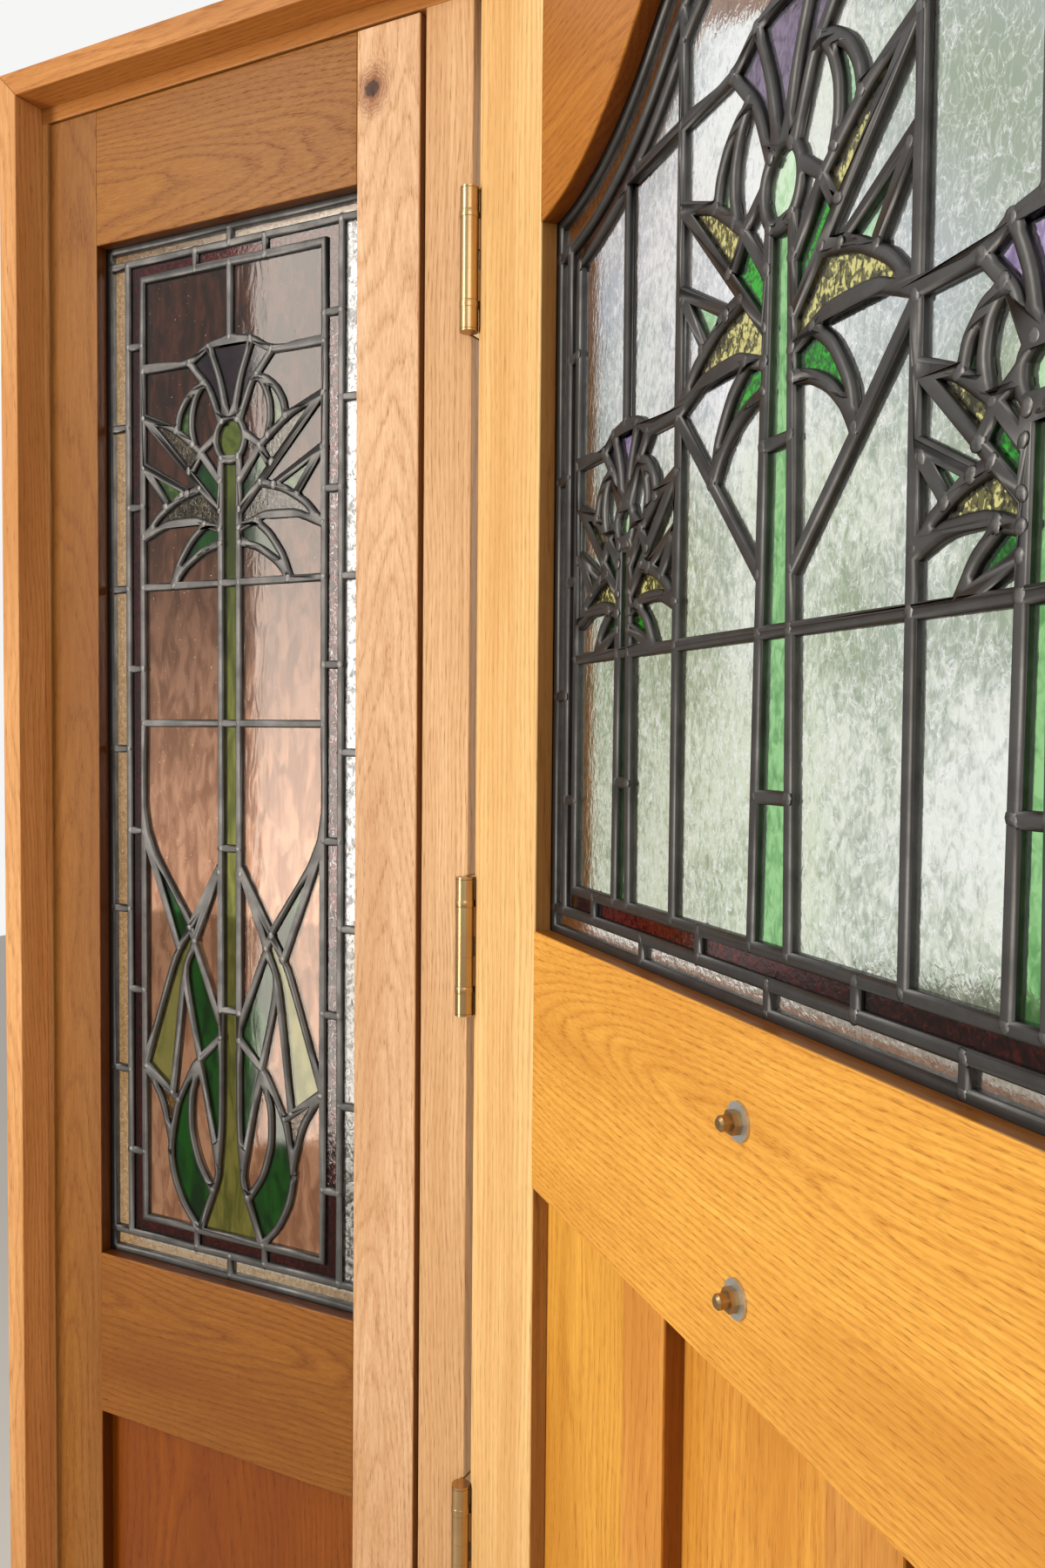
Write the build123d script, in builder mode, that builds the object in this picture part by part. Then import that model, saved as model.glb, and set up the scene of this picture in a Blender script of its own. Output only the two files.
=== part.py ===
from build123d import *
from math import asin, atan, ceil, cos, radians, sin
import os

os.makedirs("parts", exist_ok=True)

# A panelled front door and its sidelight in one timber frame, the leaf standing part open.
# Millimetres. X runs right and Y runs out of the house, seen from the room, and Z runs up
# from the underside of the sill. The hinge line stands at X = 0.

# Door leaf
leaf_width = 762.0
leaf_height = 1981.0
leaf_thick = 44.0
leaf_open = 42.7
stile_width = 123.0
bottom_rail = 215.0
mid_rail = 165.0
top_rail = 111.5
light_height = 539.5
arch_rise = 96.0
muntin_width = 47.5
panel_thick = 20.6
groove_depth = 12.0
panel_hold = 10.0
tenon_thick = 14.0
tenon_length = 60.0
tenon_shoulder = 22.0
joint_fit = 0.1

# Gaps round the leaf
hinge_gap = 3.0
latch_gap = 3.0
head_gap = 3.0
floor_gap = 4.0

# Frame
jamb_face = 44.0
mullion_face = 40.3
head_face = 44.0
frame_depth = 94.0
rebate = 46.0
stop_width = 13.0
seal_width = 8.0
seal_gap = 0.3
fixing_radius = 4.0
fixing_low = 260.0
fixing_drop = 328.0

# Sill
sill_height = 40.0
sill_inside = 29.0
sill_outside = 150.0
upstand = 12.0
nose_height = 34.0
drip_width = 6.0
drip_depth = 5.0
drip_inset = 10.0

# Lining strip round the frame
lining_width = 20.0
lining_depth = 29.0
lining_side_margin = 6.4
lining_top_margin = 13.0

# Fixed sash of the sidelight
sash_width = 380.0
sash_jamb_gap = 2.0
sash_mullion_gap = 5.0
sash_head_gap = 2.0
sash_stile = 55.5
sash_top_rail = 113.0
sash_light = 874.5
sash_mid_rail = 143.0
sash_bottom_rail = 219.0
sash_tenon_length = 42.0

# Glazing, measured from the room face of a leaf or sash
glazing_lip = 11.5
glazing_rebate = 10.0
lead_clear = 3.0
came_depth = 5.0
came_width = 6.5
edge_came_sight = 5.0
glass_thick = 4.0
bead_chamfer = 5.0
run_turn = 0.36
run_length = 16.0

# Hinges
hinge_height = 101.6
hinge_low = 254.4
hinge_drops = (1083.0, 630.0, 137.0)
hinge_reach = 38.0
hinge_plate = 3.0
hinge_close_gap = 0.6
knuckle_radius = 6.75
pin_out = 7.0
pin_radius = 3.0
pin_play = 0.06
outer_knuckle = 16.4
bearing_ring = 5.4
middle_knuckle = 14.8
knuckle_gap = 0.1
knuckle_clear = 0.35

# Fixing studs of the outside door furniture
stud_radius = 3.0
stud_out = 8.0
stud_end_gap = 0.3
stud_spacing = 79.5
stud_drop = 44.6
stud_hole = 3.3
washer_radius = 9.0
washer_thick = 1.5
nut_flats = 10.0
nut_thick = 4.0
cap_radius = 3.6
cap_height = 5.5
cap_bevel = 1.2
thread_play = 0.05
boss_radius = 15.0
boss_height = 9.0

# Places that follow from the sizes
leaf_bottom = sill_height + floor_gap
leaf_top = leaf_bottom + leaf_height
head_low = leaf_top + head_gap
mullion_right = -hinge_gap / 2
mullion_left = mullion_right - mullion_face
sash_right = mullion_left - sash_mullion_gap
sash_left = sash_right - sash_width
left_jamb_inner = sash_left - sash_jamb_gap
left_jamb_outer = left_jamb_inner - jamb_face
right_jamb_inner = hinge_gap / 2 + leaf_width + latch_gap
right_jamb_outer = right_jamb_inner + jamb_face
stop_low = head_low - stop_width
head_top = head_low + head_face
upstand_top = sill_height + upstand

# The room face of the frame, and that of the open leaf with its origin below the hinge arris
turn = radians(leaf_open)
along = Vector(cos(turn), -sin(turn), 0)
outward = Vector(sin(turn), cos(turn), 0)
hinge_line = Vector(0, -pin_out, 0)
leaf_corner = hinge_line + along * (hinge_gap / 2) + outward * pin_out
frame_face = Plane((0, 0, 0), x_dir=(1, 0, 0), z_dir=(0, -1, 0))
leaf_face = Plane(leaf_corner, x_dir=along, z_dir=-outward)


def save(part, name):
    """Name a finished piece and write it."""
    part.label = name
    export_step(part, f"parts/{name}.step")


def panel(x0, x1, z0, z1):
    """A rectangle between two corners."""
    with Locations(((x0 + x1) / 2, (z0 + z1) / 2)):
        Rectangle(x1 - x0, z1 - z0)


def block(face, near, far, x0, x1, z0, z1, mode=Mode.ADD):
    """A rectangular block between two depths behind a face."""
    with BuildSketch(face.offset(-far)) as outline:
        panel(x0, x1, z0, z1)
    extrude(outline.sketch, amount=far - near, mode=mode)


# Frame: jambs, mullion, head and sill


def post(x0, x1, stop_x0, stop_x1):
    """A post: the front part stands beside the leaf and the back part is the stop."""
    with BuildPart() as part:
        block(frame_face, 0, rebate, x0, x1, sill_height, head_low)
        block(frame_face, rebate, frame_depth, stop_x0, stop_x1, upstand_top, stop_low)
    return part.part


def drill_fixings(middle):
    """Holes for the frame fixings, through a jamb from side to side."""
    for height in (sill_height + fixing_low, head_low - fixing_drop):
        with BuildSketch(Plane.YZ.offset(middle)) as hole:
            with Locations((rebate / 2, height)):
                Circle(fixing_radius)
        extrude(hole.sketch, amount=jamb_face, both=True, mode=Mode.SUBTRACT)


hinge_bottoms = [leaf_bottom + hinge_low]
hinge_bottoms += [leaf_top - drop - hinge_height for drop in hinge_drops]
plate_inset = hinge_plate + hinge_close_gap / 2 - hinge_gap / 2
plate_reach = hinge_reach - pin_out

with BuildPart() as jamb_left:
    add(post(left_jamb_outer, left_jamb_inner, left_jamb_outer, left_jamb_inner + stop_width))
    drill_fixings((left_jamb_outer + left_jamb_inner) / 2)
save(jamb_left.part, "jamb_left")

with BuildPart() as jamb_right:
    add(post(right_jamb_inner, right_jamb_outer, right_jamb_inner - stop_width, right_jamb_outer))
    drill_fixings((right_jamb_outer + right_jamb_inner) / 2)
save(jamb_right.part, "jamb_right")

with BuildPart() as mullion:
    add(post(mullion_left, mullion_right, mullion_left - stop_width, mullion_right + stop_width))
    for low in hinge_bottoms:
        block(frame_face, 0, plate_reach, mullion_right - plate_inset, mullion_right,
              low, low + hinge_height, mode=Mode.SUBTRACT)
save(mullion.part, "mullion")

with BuildPart() as frame_head:
    block(frame_face, 0, rebate, left_jamb_outer, right_jamb_outer, head_low, head_top)
    block(frame_face, rebate, frame_depth, left_jamb_outer, right_jamb_outer, stop_low, head_top)
save(frame_head.part, "frame_head")

with BuildPart() as sill:
    with BuildSketch(Plane.YZ.offset(left_jamb_outer)):
        with BuildLine():
            Polyline(
                (-sill_inside, 0),
                (sill_outside - drip_inset - drip_width, 0),
                (sill_outside - drip_inset - drip_width, drip_depth),
                (sill_outside - drip_inset, drip_depth),
                (sill_outside - drip_inset, 0),
                (sill_outside, 0),
                (sill_outside, nose_height),
                (frame_depth, upstand_top),
                (rebate, upstand_top),
                (rebate, sill_height),
                (-sill_inside, sill_height),
                close=True,
            )
        make_face()
    extrude(amount=right_jamb_outer - left_jamb_outer)
save(sill.part, "sill")

# Seal on the stops, just clear of the shut leaf
seal_inset = (stop_width - seal_width) / 2
seal_left = mullion_right + seal_inset
seal_right = right_jamb_inner - seal_inset
seal_top = head_low - seal_inset

with BuildPart() as weather_seal:
    with BuildSketch(frame_face.offset(-rebate)):
        panel(seal_left, seal_left + seal_width, upstand_top, seal_top)
        panel(seal_right - seal_width, seal_right, upstand_top, seal_top)
        panel(seal_left, seal_right, seal_top - seal_width, seal_top)
    extrude(amount=rebate - leaf_thick - seal_gap)
save(weather_seal.part, "weather_seal")

# Lining strips, mitred at the two top corners
lining_left = left_jamb_inner - lining_side_margin
lining_right = right_jamb_inner + lining_side_margin
lining_top = head_low + lining_top_margin


def lining(name, *corners):
    """One strip from its corners, standing off the room face."""
    with BuildPart() as part:
        with BuildSketch(frame_face):
            with BuildLine():
                Polyline(*corners, close=True)
            make_face()
        extrude(amount=lining_depth)
    save(part.part, name)


lining(
    "lining_left",
    (lining_left, sill_height),
    (lining_left, lining_top),
    (lining_left - lining_width, lining_top + lining_width),
    (lining_left - lining_width, sill_height),
)
lining(
    "lining_right",
    (lining_right, sill_height),
    (lining_right, lining_top),
    (lining_right + lining_width, lining_top + lining_width),
    (lining_right + lining_width, sill_height),
)
lining(
    "lining_head",
    (lining_left, lining_top),
    (lining_right, lining_top),
    (lining_right + lining_width, lining_top + lining_width),
    (lining_left - lining_width, lining_top + lining_width),
)

# Joinery shared by the leaf and the sash


def opening(face, thick, outline):
    """Cut a glazed opening: through at the lip and wider behind it."""
    for inset, near in ((0, 0), (-glazing_rebate, glazing_lip)):
        with BuildSketch(face.offset(-thick)) as hole:
            with BuildLine():
                outline(inset)
            make_face()
        extrude(hole.sketch, amount=thick - near, mode=Mode.SUBTRACT)


def groove(face, thick, x0, x1, z0, z1):
    """Cut a panel groove all round a bay, at the middle of the thickness."""
    near = (thick - panel_thick) / 2 - joint_fit
    block(face, near, thick - near, x0 - groove_depth, x1 + groove_depth,
          z0 - groove_depth, z1 + groove_depth, mode=Mode.SUBTRACT)


def tenon_span(z0, z1):
    """Height of a rail's tenons, set in from its edges."""
    return z0 + tenon_shoulder, z1 - tenon_shoulder


def stile(face, thick, x0, x1, z0, z1, inner, rails, reach, bay, outline):
    """An upright with mortices, the panel groove and the glazing rebate on its inner side."""
    near = (thick - tenon_thick) / 2 - joint_fit
    deep = reach + joint_fit
    with BuildPart() as part:
        block(face, 0, thick, x0, x1, z0, z1)
        groove(face, thick, *bay)
        opening(face, thick, outline)
        for rail_low, rail_high in rails:
            low, high = tenon_span(rail_low, rail_high)
            block(face, near, thick - near, inner - deep, inner + deep,
                  low - joint_fit, high + joint_fit, mode=Mode.SUBTRACT)
    return part.part


def rail(face, thick, x0, x1, z0, z1, reach, bay, outline):
    """A rail between two stiles, with a tenon at each end."""
    low, high = tenon_span(z0, z1)
    near = (thick - tenon_thick) / 2
    with BuildPart() as part:
        block(face, 0, thick, x0, x1, z0, z1)
        groove(face, thick, *bay)
        opening(face, thick, outline)
        block(face, near, thick - near, x0 - reach, x0, low, high)
        block(face, near, thick - near, x1, x1 + reach, low, high)
    return part.part


def field(face, thick, x0, x1, z0, z1):
    """A flat panel held in the grooves round its bay."""
    near = (thick - panel_thick) / 2
    with BuildPart() as part:
        block(face, near, thick - near, x0 - panel_hold, x1 + panel_hold,
              z0 - panel_hold, z1 + panel_hold)
    return part.part


def glazing_beads(face, thick, outline):
    """The beads that hold the glass from outside, chamfered towards it."""
    back = glazing_lip + came_depth + glass_thick
    with BuildPart() as part:
        with BuildSketch(face.offset(-thick)):
            with BuildLine():
                outline(-glazing_rebate)
            make_face()
            with BuildLine():
                outline(0)
            make_face(mode=Mode.SUBTRACT)
        extrude(amount=thick - back)
        out = part.faces().sort_by(Axis(face.origin, -face.z_dir))[-1]
        chamfer(out.inner_wires()[0].edges(), bead_chamfer)
    return part.part


# Sash

sash_top = head_low - sash_head_gap
sash_rail_top = sash_top - sash_top_rail
sash_sight_low = sash_rail_top - sash_light
sash_mid_low = sash_sight_low - sash_mid_rail
sash_bottom_top = sill_height + sash_bottom_rail
sash_x0 = sash_left + sash_stile
sash_x1 = sash_right - sash_stile
sash_bay = (sash_x0, sash_x1, sash_bottom_top, sash_mid_low)
sash_rails = (
    (sill_height, sash_bottom_top),
    (sash_mid_low, sash_sight_low),
    (sash_rail_top, sash_top),
)


def sash_outline(inset):
    """Edge of the sidelight's glass opening, moved in by inset."""
    Polyline(
        (sash_x0 + inset, sash_sight_low + inset),
        (sash_x1 - inset, sash_sight_low + inset),
        (sash_x1 - inset, sash_rail_top - inset),
        (sash_x0 + inset, sash_rail_top - inset),
        close=True,
    )


sash_stile_left = stile(frame_face, rebate, sash_left, sash_x0, sill_height, sash_top,
                        sash_x0, sash_rails, sash_tenon_length, sash_bay, sash_outline)
save(sash_stile_left, "sash_stile_left")
sash_stile_right = stile(frame_face, rebate, sash_x1, sash_right, sill_height, sash_top,
                         sash_x1, sash_rails, sash_tenon_length, sash_bay, sash_outline)
save(sash_stile_right, "sash_stile_right")

for name, (low, high) in zip(("bottom", "mid", "top"), sash_rails):
    sash_rail = rail(frame_face, rebate, sash_x0, sash_x1, low, high,
                     sash_tenon_length, sash_bay, sash_outline)
    save(sash_rail, f"sash_rail_{name}")

sash_panel = field(frame_face, rebate, *sash_bay)
save(sash_panel, "sash_panel")
sash_beads = glazing_beads(frame_face, rebate, sash_outline)
save(sash_beads, "sash_beads")

# Door leaf

leaf_centre = leaf_width / 2
light_x0 = stile_width
light_x1 = leaf_width - stile_width
light_half = leaf_centre - light_x0
light_top = leaf_top - top_rail
light_low = light_top - light_height
light_spring = light_top - arch_rise
light_side = light_spring - light_low
mid_rail_low = light_low - mid_rail
bottom_rail_top = leaf_bottom + bottom_rail
leaf_bay = (light_x0, light_x1, bottom_rail_top, mid_rail_low)
leaf_rails = (
    (leaf_bottom, bottom_rail_top),
    (mid_rail_low, light_low),
    (light_spring, leaf_top),
)

# The head of the light is an ogee: two equal arcs on each side, hollow and then round
ogee_turn = 2 * atan(arch_rise / light_half)
ogee_radius = light_half / 2 / sin(ogee_turn)
hollow_centre = (light_x0, light_spring + ogee_radius)
crown_centre = (leaf_centre, light_spring + arch_rise - ogee_radius)


def ogee(inset, side):
    """Hollow and round arc of the left half, moved in by inset, from a distance off the stile."""
    hollow = ogee_radius + inset
    crown = ogee_radius - inset
    start = asin(side / hollow)

    def low_point(angle):
        x, z = hollow_centre
        return x + hollow * sin(angle), z - hollow * cos(angle)

    def high_point(angle):
        x, z = crown_centre
        return x - crown * sin(angle), z + crown * cos(angle)

    return (
        [low_point(start), low_point((start + ogee_turn) / 2), low_point(ogee_turn)],
        [high_point(ogee_turn), high_point(ogee_turn / 2), high_point(0)],
    )


def mirrored(points, centre):
    """The same points on the other side of an upright line."""
    return [(2 * centre - x, z) for x, z in points]


def leaf_outline(inset):
    """Edge of the leaf's glass opening, moved in by inset."""
    hollow, crown = ogee(inset, inset)
    ThreePointArc(*hollow)
    ThreePointArc(*crown)
    ThreePointArc(*mirrored(crown, leaf_centre))
    ThreePointArc(*mirrored(hollow, leaf_centre))
    Polyline(
        mirrored(hollow, leaf_centre)[0],
        (light_x1 - inset, light_low + inset),
        (light_x0 + inset, light_low + inset),
        hollow[0],
    )


with BuildPart() as door_stile_hinge:
    add(stile(leaf_face, leaf_thick, 0, light_x0, leaf_bottom, leaf_top,
              light_x0, leaf_rails, tenon_length, leaf_bay, leaf_outline))
    for low in hinge_bottoms:
        block(leaf_face, 0, plate_reach, 0, plate_inset, low, low + hinge_height,
              mode=Mode.SUBTRACT)
save(door_stile_hinge.part, "door_stile_hinge")

door_stile_latch = stile(leaf_face, leaf_thick, light_x1, leaf_width, leaf_bottom, leaf_top,
                         light_x1, leaf_rails, tenon_length, leaf_bay, leaf_outline)
save(door_stile_latch, "door_stile_latch")

stud_top = light_low - stud_drop
stud_heights = (stud_top, stud_top - stud_spacing)

for name, (low, high) in zip(("bottom", "mid", "top"), leaf_rails):
    with BuildPart() as door_rail:
        add(rail(leaf_face, leaf_thick, light_x0, light_x1, low, high,
                 tenon_length, leaf_bay, leaf_outline))
        if name == "mid":
            for height in stud_heights:
                with BuildSketch(leaf_face) as hole:
                    with Locations((leaf_centre, height)):
                        Circle(stud_hole)
                extrude(hole.sketch, amount=-leaf_thick, mode=Mode.SUBTRACT)
    save(door_rail.part, f"door_rail_{name}")

# Muntins and the three panels between them
bay_width = (light_x1 - light_x0 - 2 * muntin_width) / 3
groove_near = (leaf_thick - panel_thick) / 2

for index, name in enumerate(("left", "right")):
    x0 = light_x0 + (index + 1) * bay_width + index * muntin_width
    x1 = x0 + muntin_width
    with BuildPart() as muntin:
        block(leaf_face, 0, leaf_thick, x0, x1, bottom_rail_top, mid_rail_low)
        block(leaf_face, groove_near, leaf_thick - groove_near, x0, x1,
              bottom_rail_top - panel_hold, mid_rail_low + panel_hold)
        for left, right in ((x0 - bay_width, x0), (x1, x1 + bay_width)):
            groove(leaf_face, leaf_thick, left, right, bottom_rail_top, mid_rail_low)
    save(muntin.part, f"door_muntin_{name}")

for index, name in enumerate(("left", "middle", "right")):
    x0 = light_x0 + index * (bay_width + muntin_width)
    door_panel = field(leaf_face, leaf_thick, x0, x0 + bay_width, bottom_rail_top, mid_rail_low)
    save(door_panel, f"door_panel_{name}")

door_beads = glazing_beads(leaf_face, leaf_thick, leaf_outline)
save(door_beads, "door_beads")

# Leaded lights. Each came is a line through two points or an arc through three. The numbers
# below are places in the drawn pattern, which is stretched to fill the field of each light.

# The lily from the middle of its top line, right half
lily = [
    [(43.5, 0), (23.5, -21), (10.5, -51)],
    [(22.4, 11.7), (10.5, -18), (4.5, -48)],
    [(26, -18), (48, -31), (57, -54)],
    [(28, -17), (41.5, -46), (38, -69)],
    [(93.5, -39.5), (49.5, -59.5), (9.5, -103)],
    [(93.5, -39.5), (55, -73.5), (9.5, -127)],
    [(32, -77), (40, -90)],
    [(14, -62), (33, -76)],
    [(93.5, -81), (68, -95), (43, -108)],
    [(93.5, -81), (82, -99), (68, -115)],
    [(93.5, -142), (66, -116.5), (31, -105)],
    [(93.5, -142), (52, -129.5), (9.5, -140)],
]
lily_top = [(-43.5, 0), (0, 15.5), (43.5, 0)]
bulb_drop = -66.5
bulb_half = (15, 18)

# Broad leaves at the foot of the sidelight's stem, right half, from the bottom of the field
foot_leaves = [
    [(94, 337.7), (49, 271.7), (11, 180.7)],
    [(94, 337.7), (73.7, 290), (56, 240)],
    [(49.5, 221), (32.8, 160), (13, 57.7)],
    [(11, 313.7), (57.8, 237.3), (94, 136.7)],
    [(11, 313.7), (49.4, 223.4), (63.3, 114.7)],
    [(94, 136.7), (59, 110.7)],
    [(94, 136.7), (75, 106.7), (65, 71.7)],
    [(10.5, 169.7), (52.2, 120.7), (66.1, 64.7)],
    [(66.1, 64.7), (57, 29.7), (34, 0.7)],
    [(34, 142.7), (43.9, 95.7), (18, 34.7)],
    [(10, 96.7), (15.5, 42.7), (32.8, 0.7)],
]
came_half = came_width / 2


def spot(place, stretch, point):
    """A point of the pattern in its light, from the pattern's middle and foot."""
    return place[0] + stretch[0] * point[0], place[1] + stretch[1] * point[1]


def both_sides(lines, place, stretch=(1, 1)):
    """A half pattern with its mirror image."""
    mirror_image = (-stretch[0], stretch[1])
    return [
        [spot(place, way, point) for point in points]
        for points in lines
        for way in (stretch, mirror_image)
    ]


def lily_lines(place, stretch, tip):
    """A whole lily whose lowest leaves end at a tip."""
    leaf_lines = [[(24, -133), (44, -150), tip], [(9.5, -151), (36, -160), tip]]
    fan = [spot(place, stretch, point) for point in lily_top]
    return [fan] + both_sides(lily + leaf_lines, place, stretch)


def lily_bulb(place, stretch):
    """Middle and half sizes of the ring round a lily's bulb."""
    wide, high = bulb_half
    return *spot(place, stretch, (0, bulb_drop)), stretch[0] * wide, stretch[1] * high


def came(points):
    """Centre line of a came: straight, or an arc dressed in short straight runs."""
    if len(points) == 2:
        return Edge.make_line(*points)
    arc = Edge.make_three_point_arc(*points)
    runs = ceil(min(arc.length / arc.radius / run_turn, arc.length / run_length))
    return Wire.make_polygon([arc @ (step / runs) for step in range(runs + 1)], close=False)


def lead_lights(face, outline, lines, arcs, bulbs):
    """The soldered cames of a light: edge came, cames and the rings round the bulbs."""
    with BuildPart() as part:
        with BuildSketch(face.offset(-glazing_lip - came_depth)):
            with BuildLine():
                outline(lead_clear - glazing_rebate)
            make_face()
            with BuildLine():
                outline(edge_came_sight)
            make_face(mode=Mode.SUBTRACT)
            centres = [came(points) for points in lines]
            centres += [Edge.make_three_point_arc(*points) for points in arcs]
            strips = [trace(line, line_width=came_width, mode=Mode.PRIVATE) for line in centres]
            add([face for strip in strips for face in strip.faces()])
            for x, z, wide, high in bulbs:
                with Locations((x, z)):
                    Ellipse(wide + came_half, high + came_half)
                    Ellipse(wide - came_half, high - came_half, mode=Mode.SUBTRACT)
        extrude(amount=came_depth)
    return part.part


def glass_sheet(face, outline):
    """The glass of a light, against the outer side of its cames."""
    with BuildPart() as part:
        with BuildSketch(face.offset(-glazing_lip - came_depth - glass_thick)):
            with BuildLine():
                outline(lead_clear - glazing_rebate)
            make_face()
        extrude(amount=glass_thick)
    return part.part


# Light of the door: a wide lily between two small ones, inside a border of two cames
border_side = 18.5
border_inner = 33.0
border_low = 15.3
border_low_inner = 29.7
arch_border = 23.5
arch_border_inner = 38.0
small_size = 0.676

door_outer_low = light_low + border_low
door_low = light_low + border_low_inner
door_outer = light_half - border_side
door_inner = light_half - border_inner
door_foot = (leaf_centre, door_low)
door_stretch = (door_inner / 225, (light_top - arch_border_inner - door_low) / 471.8)
small_stretch = (small_size * door_stretch[0], small_size * door_stretch[1])

door_lines = both_sides(
    [
        [(0, 0), (225 + came_half, 0)],
        [(93.5, 0), (93.5, 457.3)],
        [(9.5, 319.3), (13, 141.3), (15.3, 0)],
        [(156.5, 267.8), (156.5, 396.3)],
        [(225, 257.3), (185.9, 257.3)],
        [(93.5, 257.3), (127.1, 257.3)],
        [(43.5, 399.3), (152, 399.3)],
        [(225, 141.3), (0, 141.3)],
        [(93.5, 255.3), (11.7, 164.3)],
        [(12, 223.3), (0, 223.3)],
        [(15, 68.3), (0, 68.3)],
    ],
    door_foot,
    door_stretch,
)
border_lines = [[(0, border_low), (door_outer, border_low)]]
border_lines += [[(door_outer, border_low), (light_half, border_low)]]
border_lines += [
    [(door_outer, light_side * share), (light_half, light_side * share)]
    for share in (0.336, 0.638)
]
border_lines += [
    [(door_inner, light_side * share), (door_outer, light_side * share)]
    for share in (0.191, 0.493, 0.798)
]
border_lines += [[(light_half * share, 0), (light_half * share, border_low)] for share in (0, 0.496)]
border_lines += [
    [(door_inner * share, border_low), (door_inner * share, border_low_inner)]
    for share in (0.287, 0.862)
]
door_lines += both_sides(border_lines, (leaf_centre, light_low))

lily_place = spot(door_foot, door_stretch, (0, 399.3))
door_bulbs = [lily_bulb(lily_place, door_stretch)]
door_lines += lily_lines(lily_place, door_stretch, (57, -185))
for middle in (-156.5, 156.5):
    lily_place = spot(door_foot, door_stretch, (middle, 257.3))
    door_bulbs.append(lily_bulb(lily_place, small_stretch))
    door_lines += lily_lines(lily_place, small_stretch, (57, -171.6))
    small_foot = spot(door_foot, door_stretch, (middle, 0))
    door_lines += both_sides([[(6.5, 202.3), (9, 0)], [(0, 68.8), (9, 68.8)]],
                             small_foot, door_stretch)

door_arcs = []
for inset, side_inset, low_inset in (
    (arch_border, border_side, border_low),
    (arch_border_inner, border_inner, border_low_inner),
):
    hollow, crown = ogee(inset, side_inset)
    post_line = [(light_x0 + side_inset, light_low + low_inset), hollow[0]]
    for arc in (hollow, crown):
        door_arcs += [arc, mirrored(arc, leaf_centre)]
    door_lines += [post_line, mirrored(post_line, leaf_centre)]
    if side_inset == border_side:
        corner = [(light_x0, hollow[0][1]), hollow[0]]
        door_lines += [corner, mirrored(corner, leaf_centre)]

door_lead = lead_lights(leaf_face, leaf_outline, door_lines, door_arcs, door_bulbs)
save(door_lead, "door_lead")
door_glass = glass_sheet(leaf_face, leaf_outline)
save(door_glass, "door_glass")

# Light of the sash: one lily on a stem with broad leaves at its foot
border_outer_side = 22.9
border_inner_side = 39.3
border_outer_top = 15.5
border_inner_top = 31.0
border_outer_low = 19.0
border_inner_low = 34.8

sash_mid = (sash_x0 + sash_x1) / 2
sash_half = (sash_x1 - sash_x0) / 2
sash_outer = sash_half - border_outer_side
sash_inner = sash_half - border_inner_side
sash_field_height = sash_light - border_inner_top - border_inner_low
sash_foot = (sash_mid, sash_sight_low + border_inner_low)
sash_stretch = (sash_inner / 95.2, sash_field_height / 808.7)

sash_lines = both_sides(
    [
        [(95.2, 732.7), (43.5, 732.7)],
        [(95.2, 548.7), (0, 548.7)],
        [(95.2, 432.7), (0, 432.7)],
        [(9.5, 652.7), (9.5, 92.7)],
        [(10, 328.7), (0, 328.7)],
        [(10, 192.7), (0, 192.7)],
    ]
    + foot_leaves,
    sash_foot,
    sash_stretch,
)
outer_top = sash_light - border_outer_top
inner_top = sash_light - border_inner_top
border_lines = [
    [(sash_outer, border_outer_low), (sash_outer, outer_top)],
    [(sash_inner, border_inner_low), (sash_inner, inner_top)],
]
for low, high, side in (
    (border_outer_low, outer_top, sash_half),
    (border_inner_low, inner_top, sash_inner + came_half),
):
    border_lines += [[(0, height), (side, height)] for height in (low, high)]
for low, high in ((border_outer_low, border_inner_low), (inner_top, outer_top)):
    border_lines.append([(sash_inner * 0.383, low), (sash_inner * 0.383, high)])
border_lines += [[(0, 0), (0, border_outer_low)], [(0, outer_top), (0, sash_light)]]
border_lines += [
    [(sash_outer, sash_light * share), (sash_half, sash_light * share)]
    for share in (0.187, 0.349, 0.509, 0.667, 0.825)
]
border_lines += [
    [(sash_inner, sash_light * share), (sash_outer, sash_light * share)]
    for share in (0.106, 0.269, 0.428, 0.588, 0.746, 0.902)
]
sash_lines += both_sides(border_lines, (sash_mid, sash_sight_low))

lily_place = spot(sash_foot, sash_stretch, (0, 732.7))
fan_top = spot(lily_place, sash_stretch, lily_top[1])
sash_lines += [[fan_top, (sash_mid, sash_sight_low + inner_top)]]
sash_lines += lily_lines(lily_place, sash_stretch, (62, -184))
sash_bulbs = [lily_bulb(lily_place, sash_stretch)]

sash_lead = lead_lights(frame_face, sash_outline, sash_lines, [], sash_bulbs)
save(sash_lead, "sash_lead")
sash_glass = glass_sheet(frame_face, sash_outline)
save(sash_glass, "sash_glass")

# Hinges. The frame's leaf carries the pin and the knuckles at the ends and in the middle.

door_knuckle = (
    hinge_height - 2 * outer_knuckle - 2 * bearing_ring - middle_knuckle
) / 2
lower_ring_top = outer_knuckle + bearing_ring
middle_low = lower_ring_top + door_knuckle
middle_top = middle_low + middle_knuckle
upper_ring_low = middle_top + door_knuckle
frame_spans = ((0, lower_ring_top), (middle_low, middle_top), (upper_ring_low, hinge_height))
door_spans = ((lower_ring_top, middle_low), (middle_top, upper_ring_low))
plate_near = hinge_close_gap / 2
leaf_shift = hinge_gap / 2


def barrel(low, high, radius, mode=Mode.ADD):
    """A round piece on the hinge line."""
    with BuildSketch(Plane((0, -pin_out, low))) as ring:
        Circle(radius)
    extrude(ring.sketch, amount=high - low, mode=mode)


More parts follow.
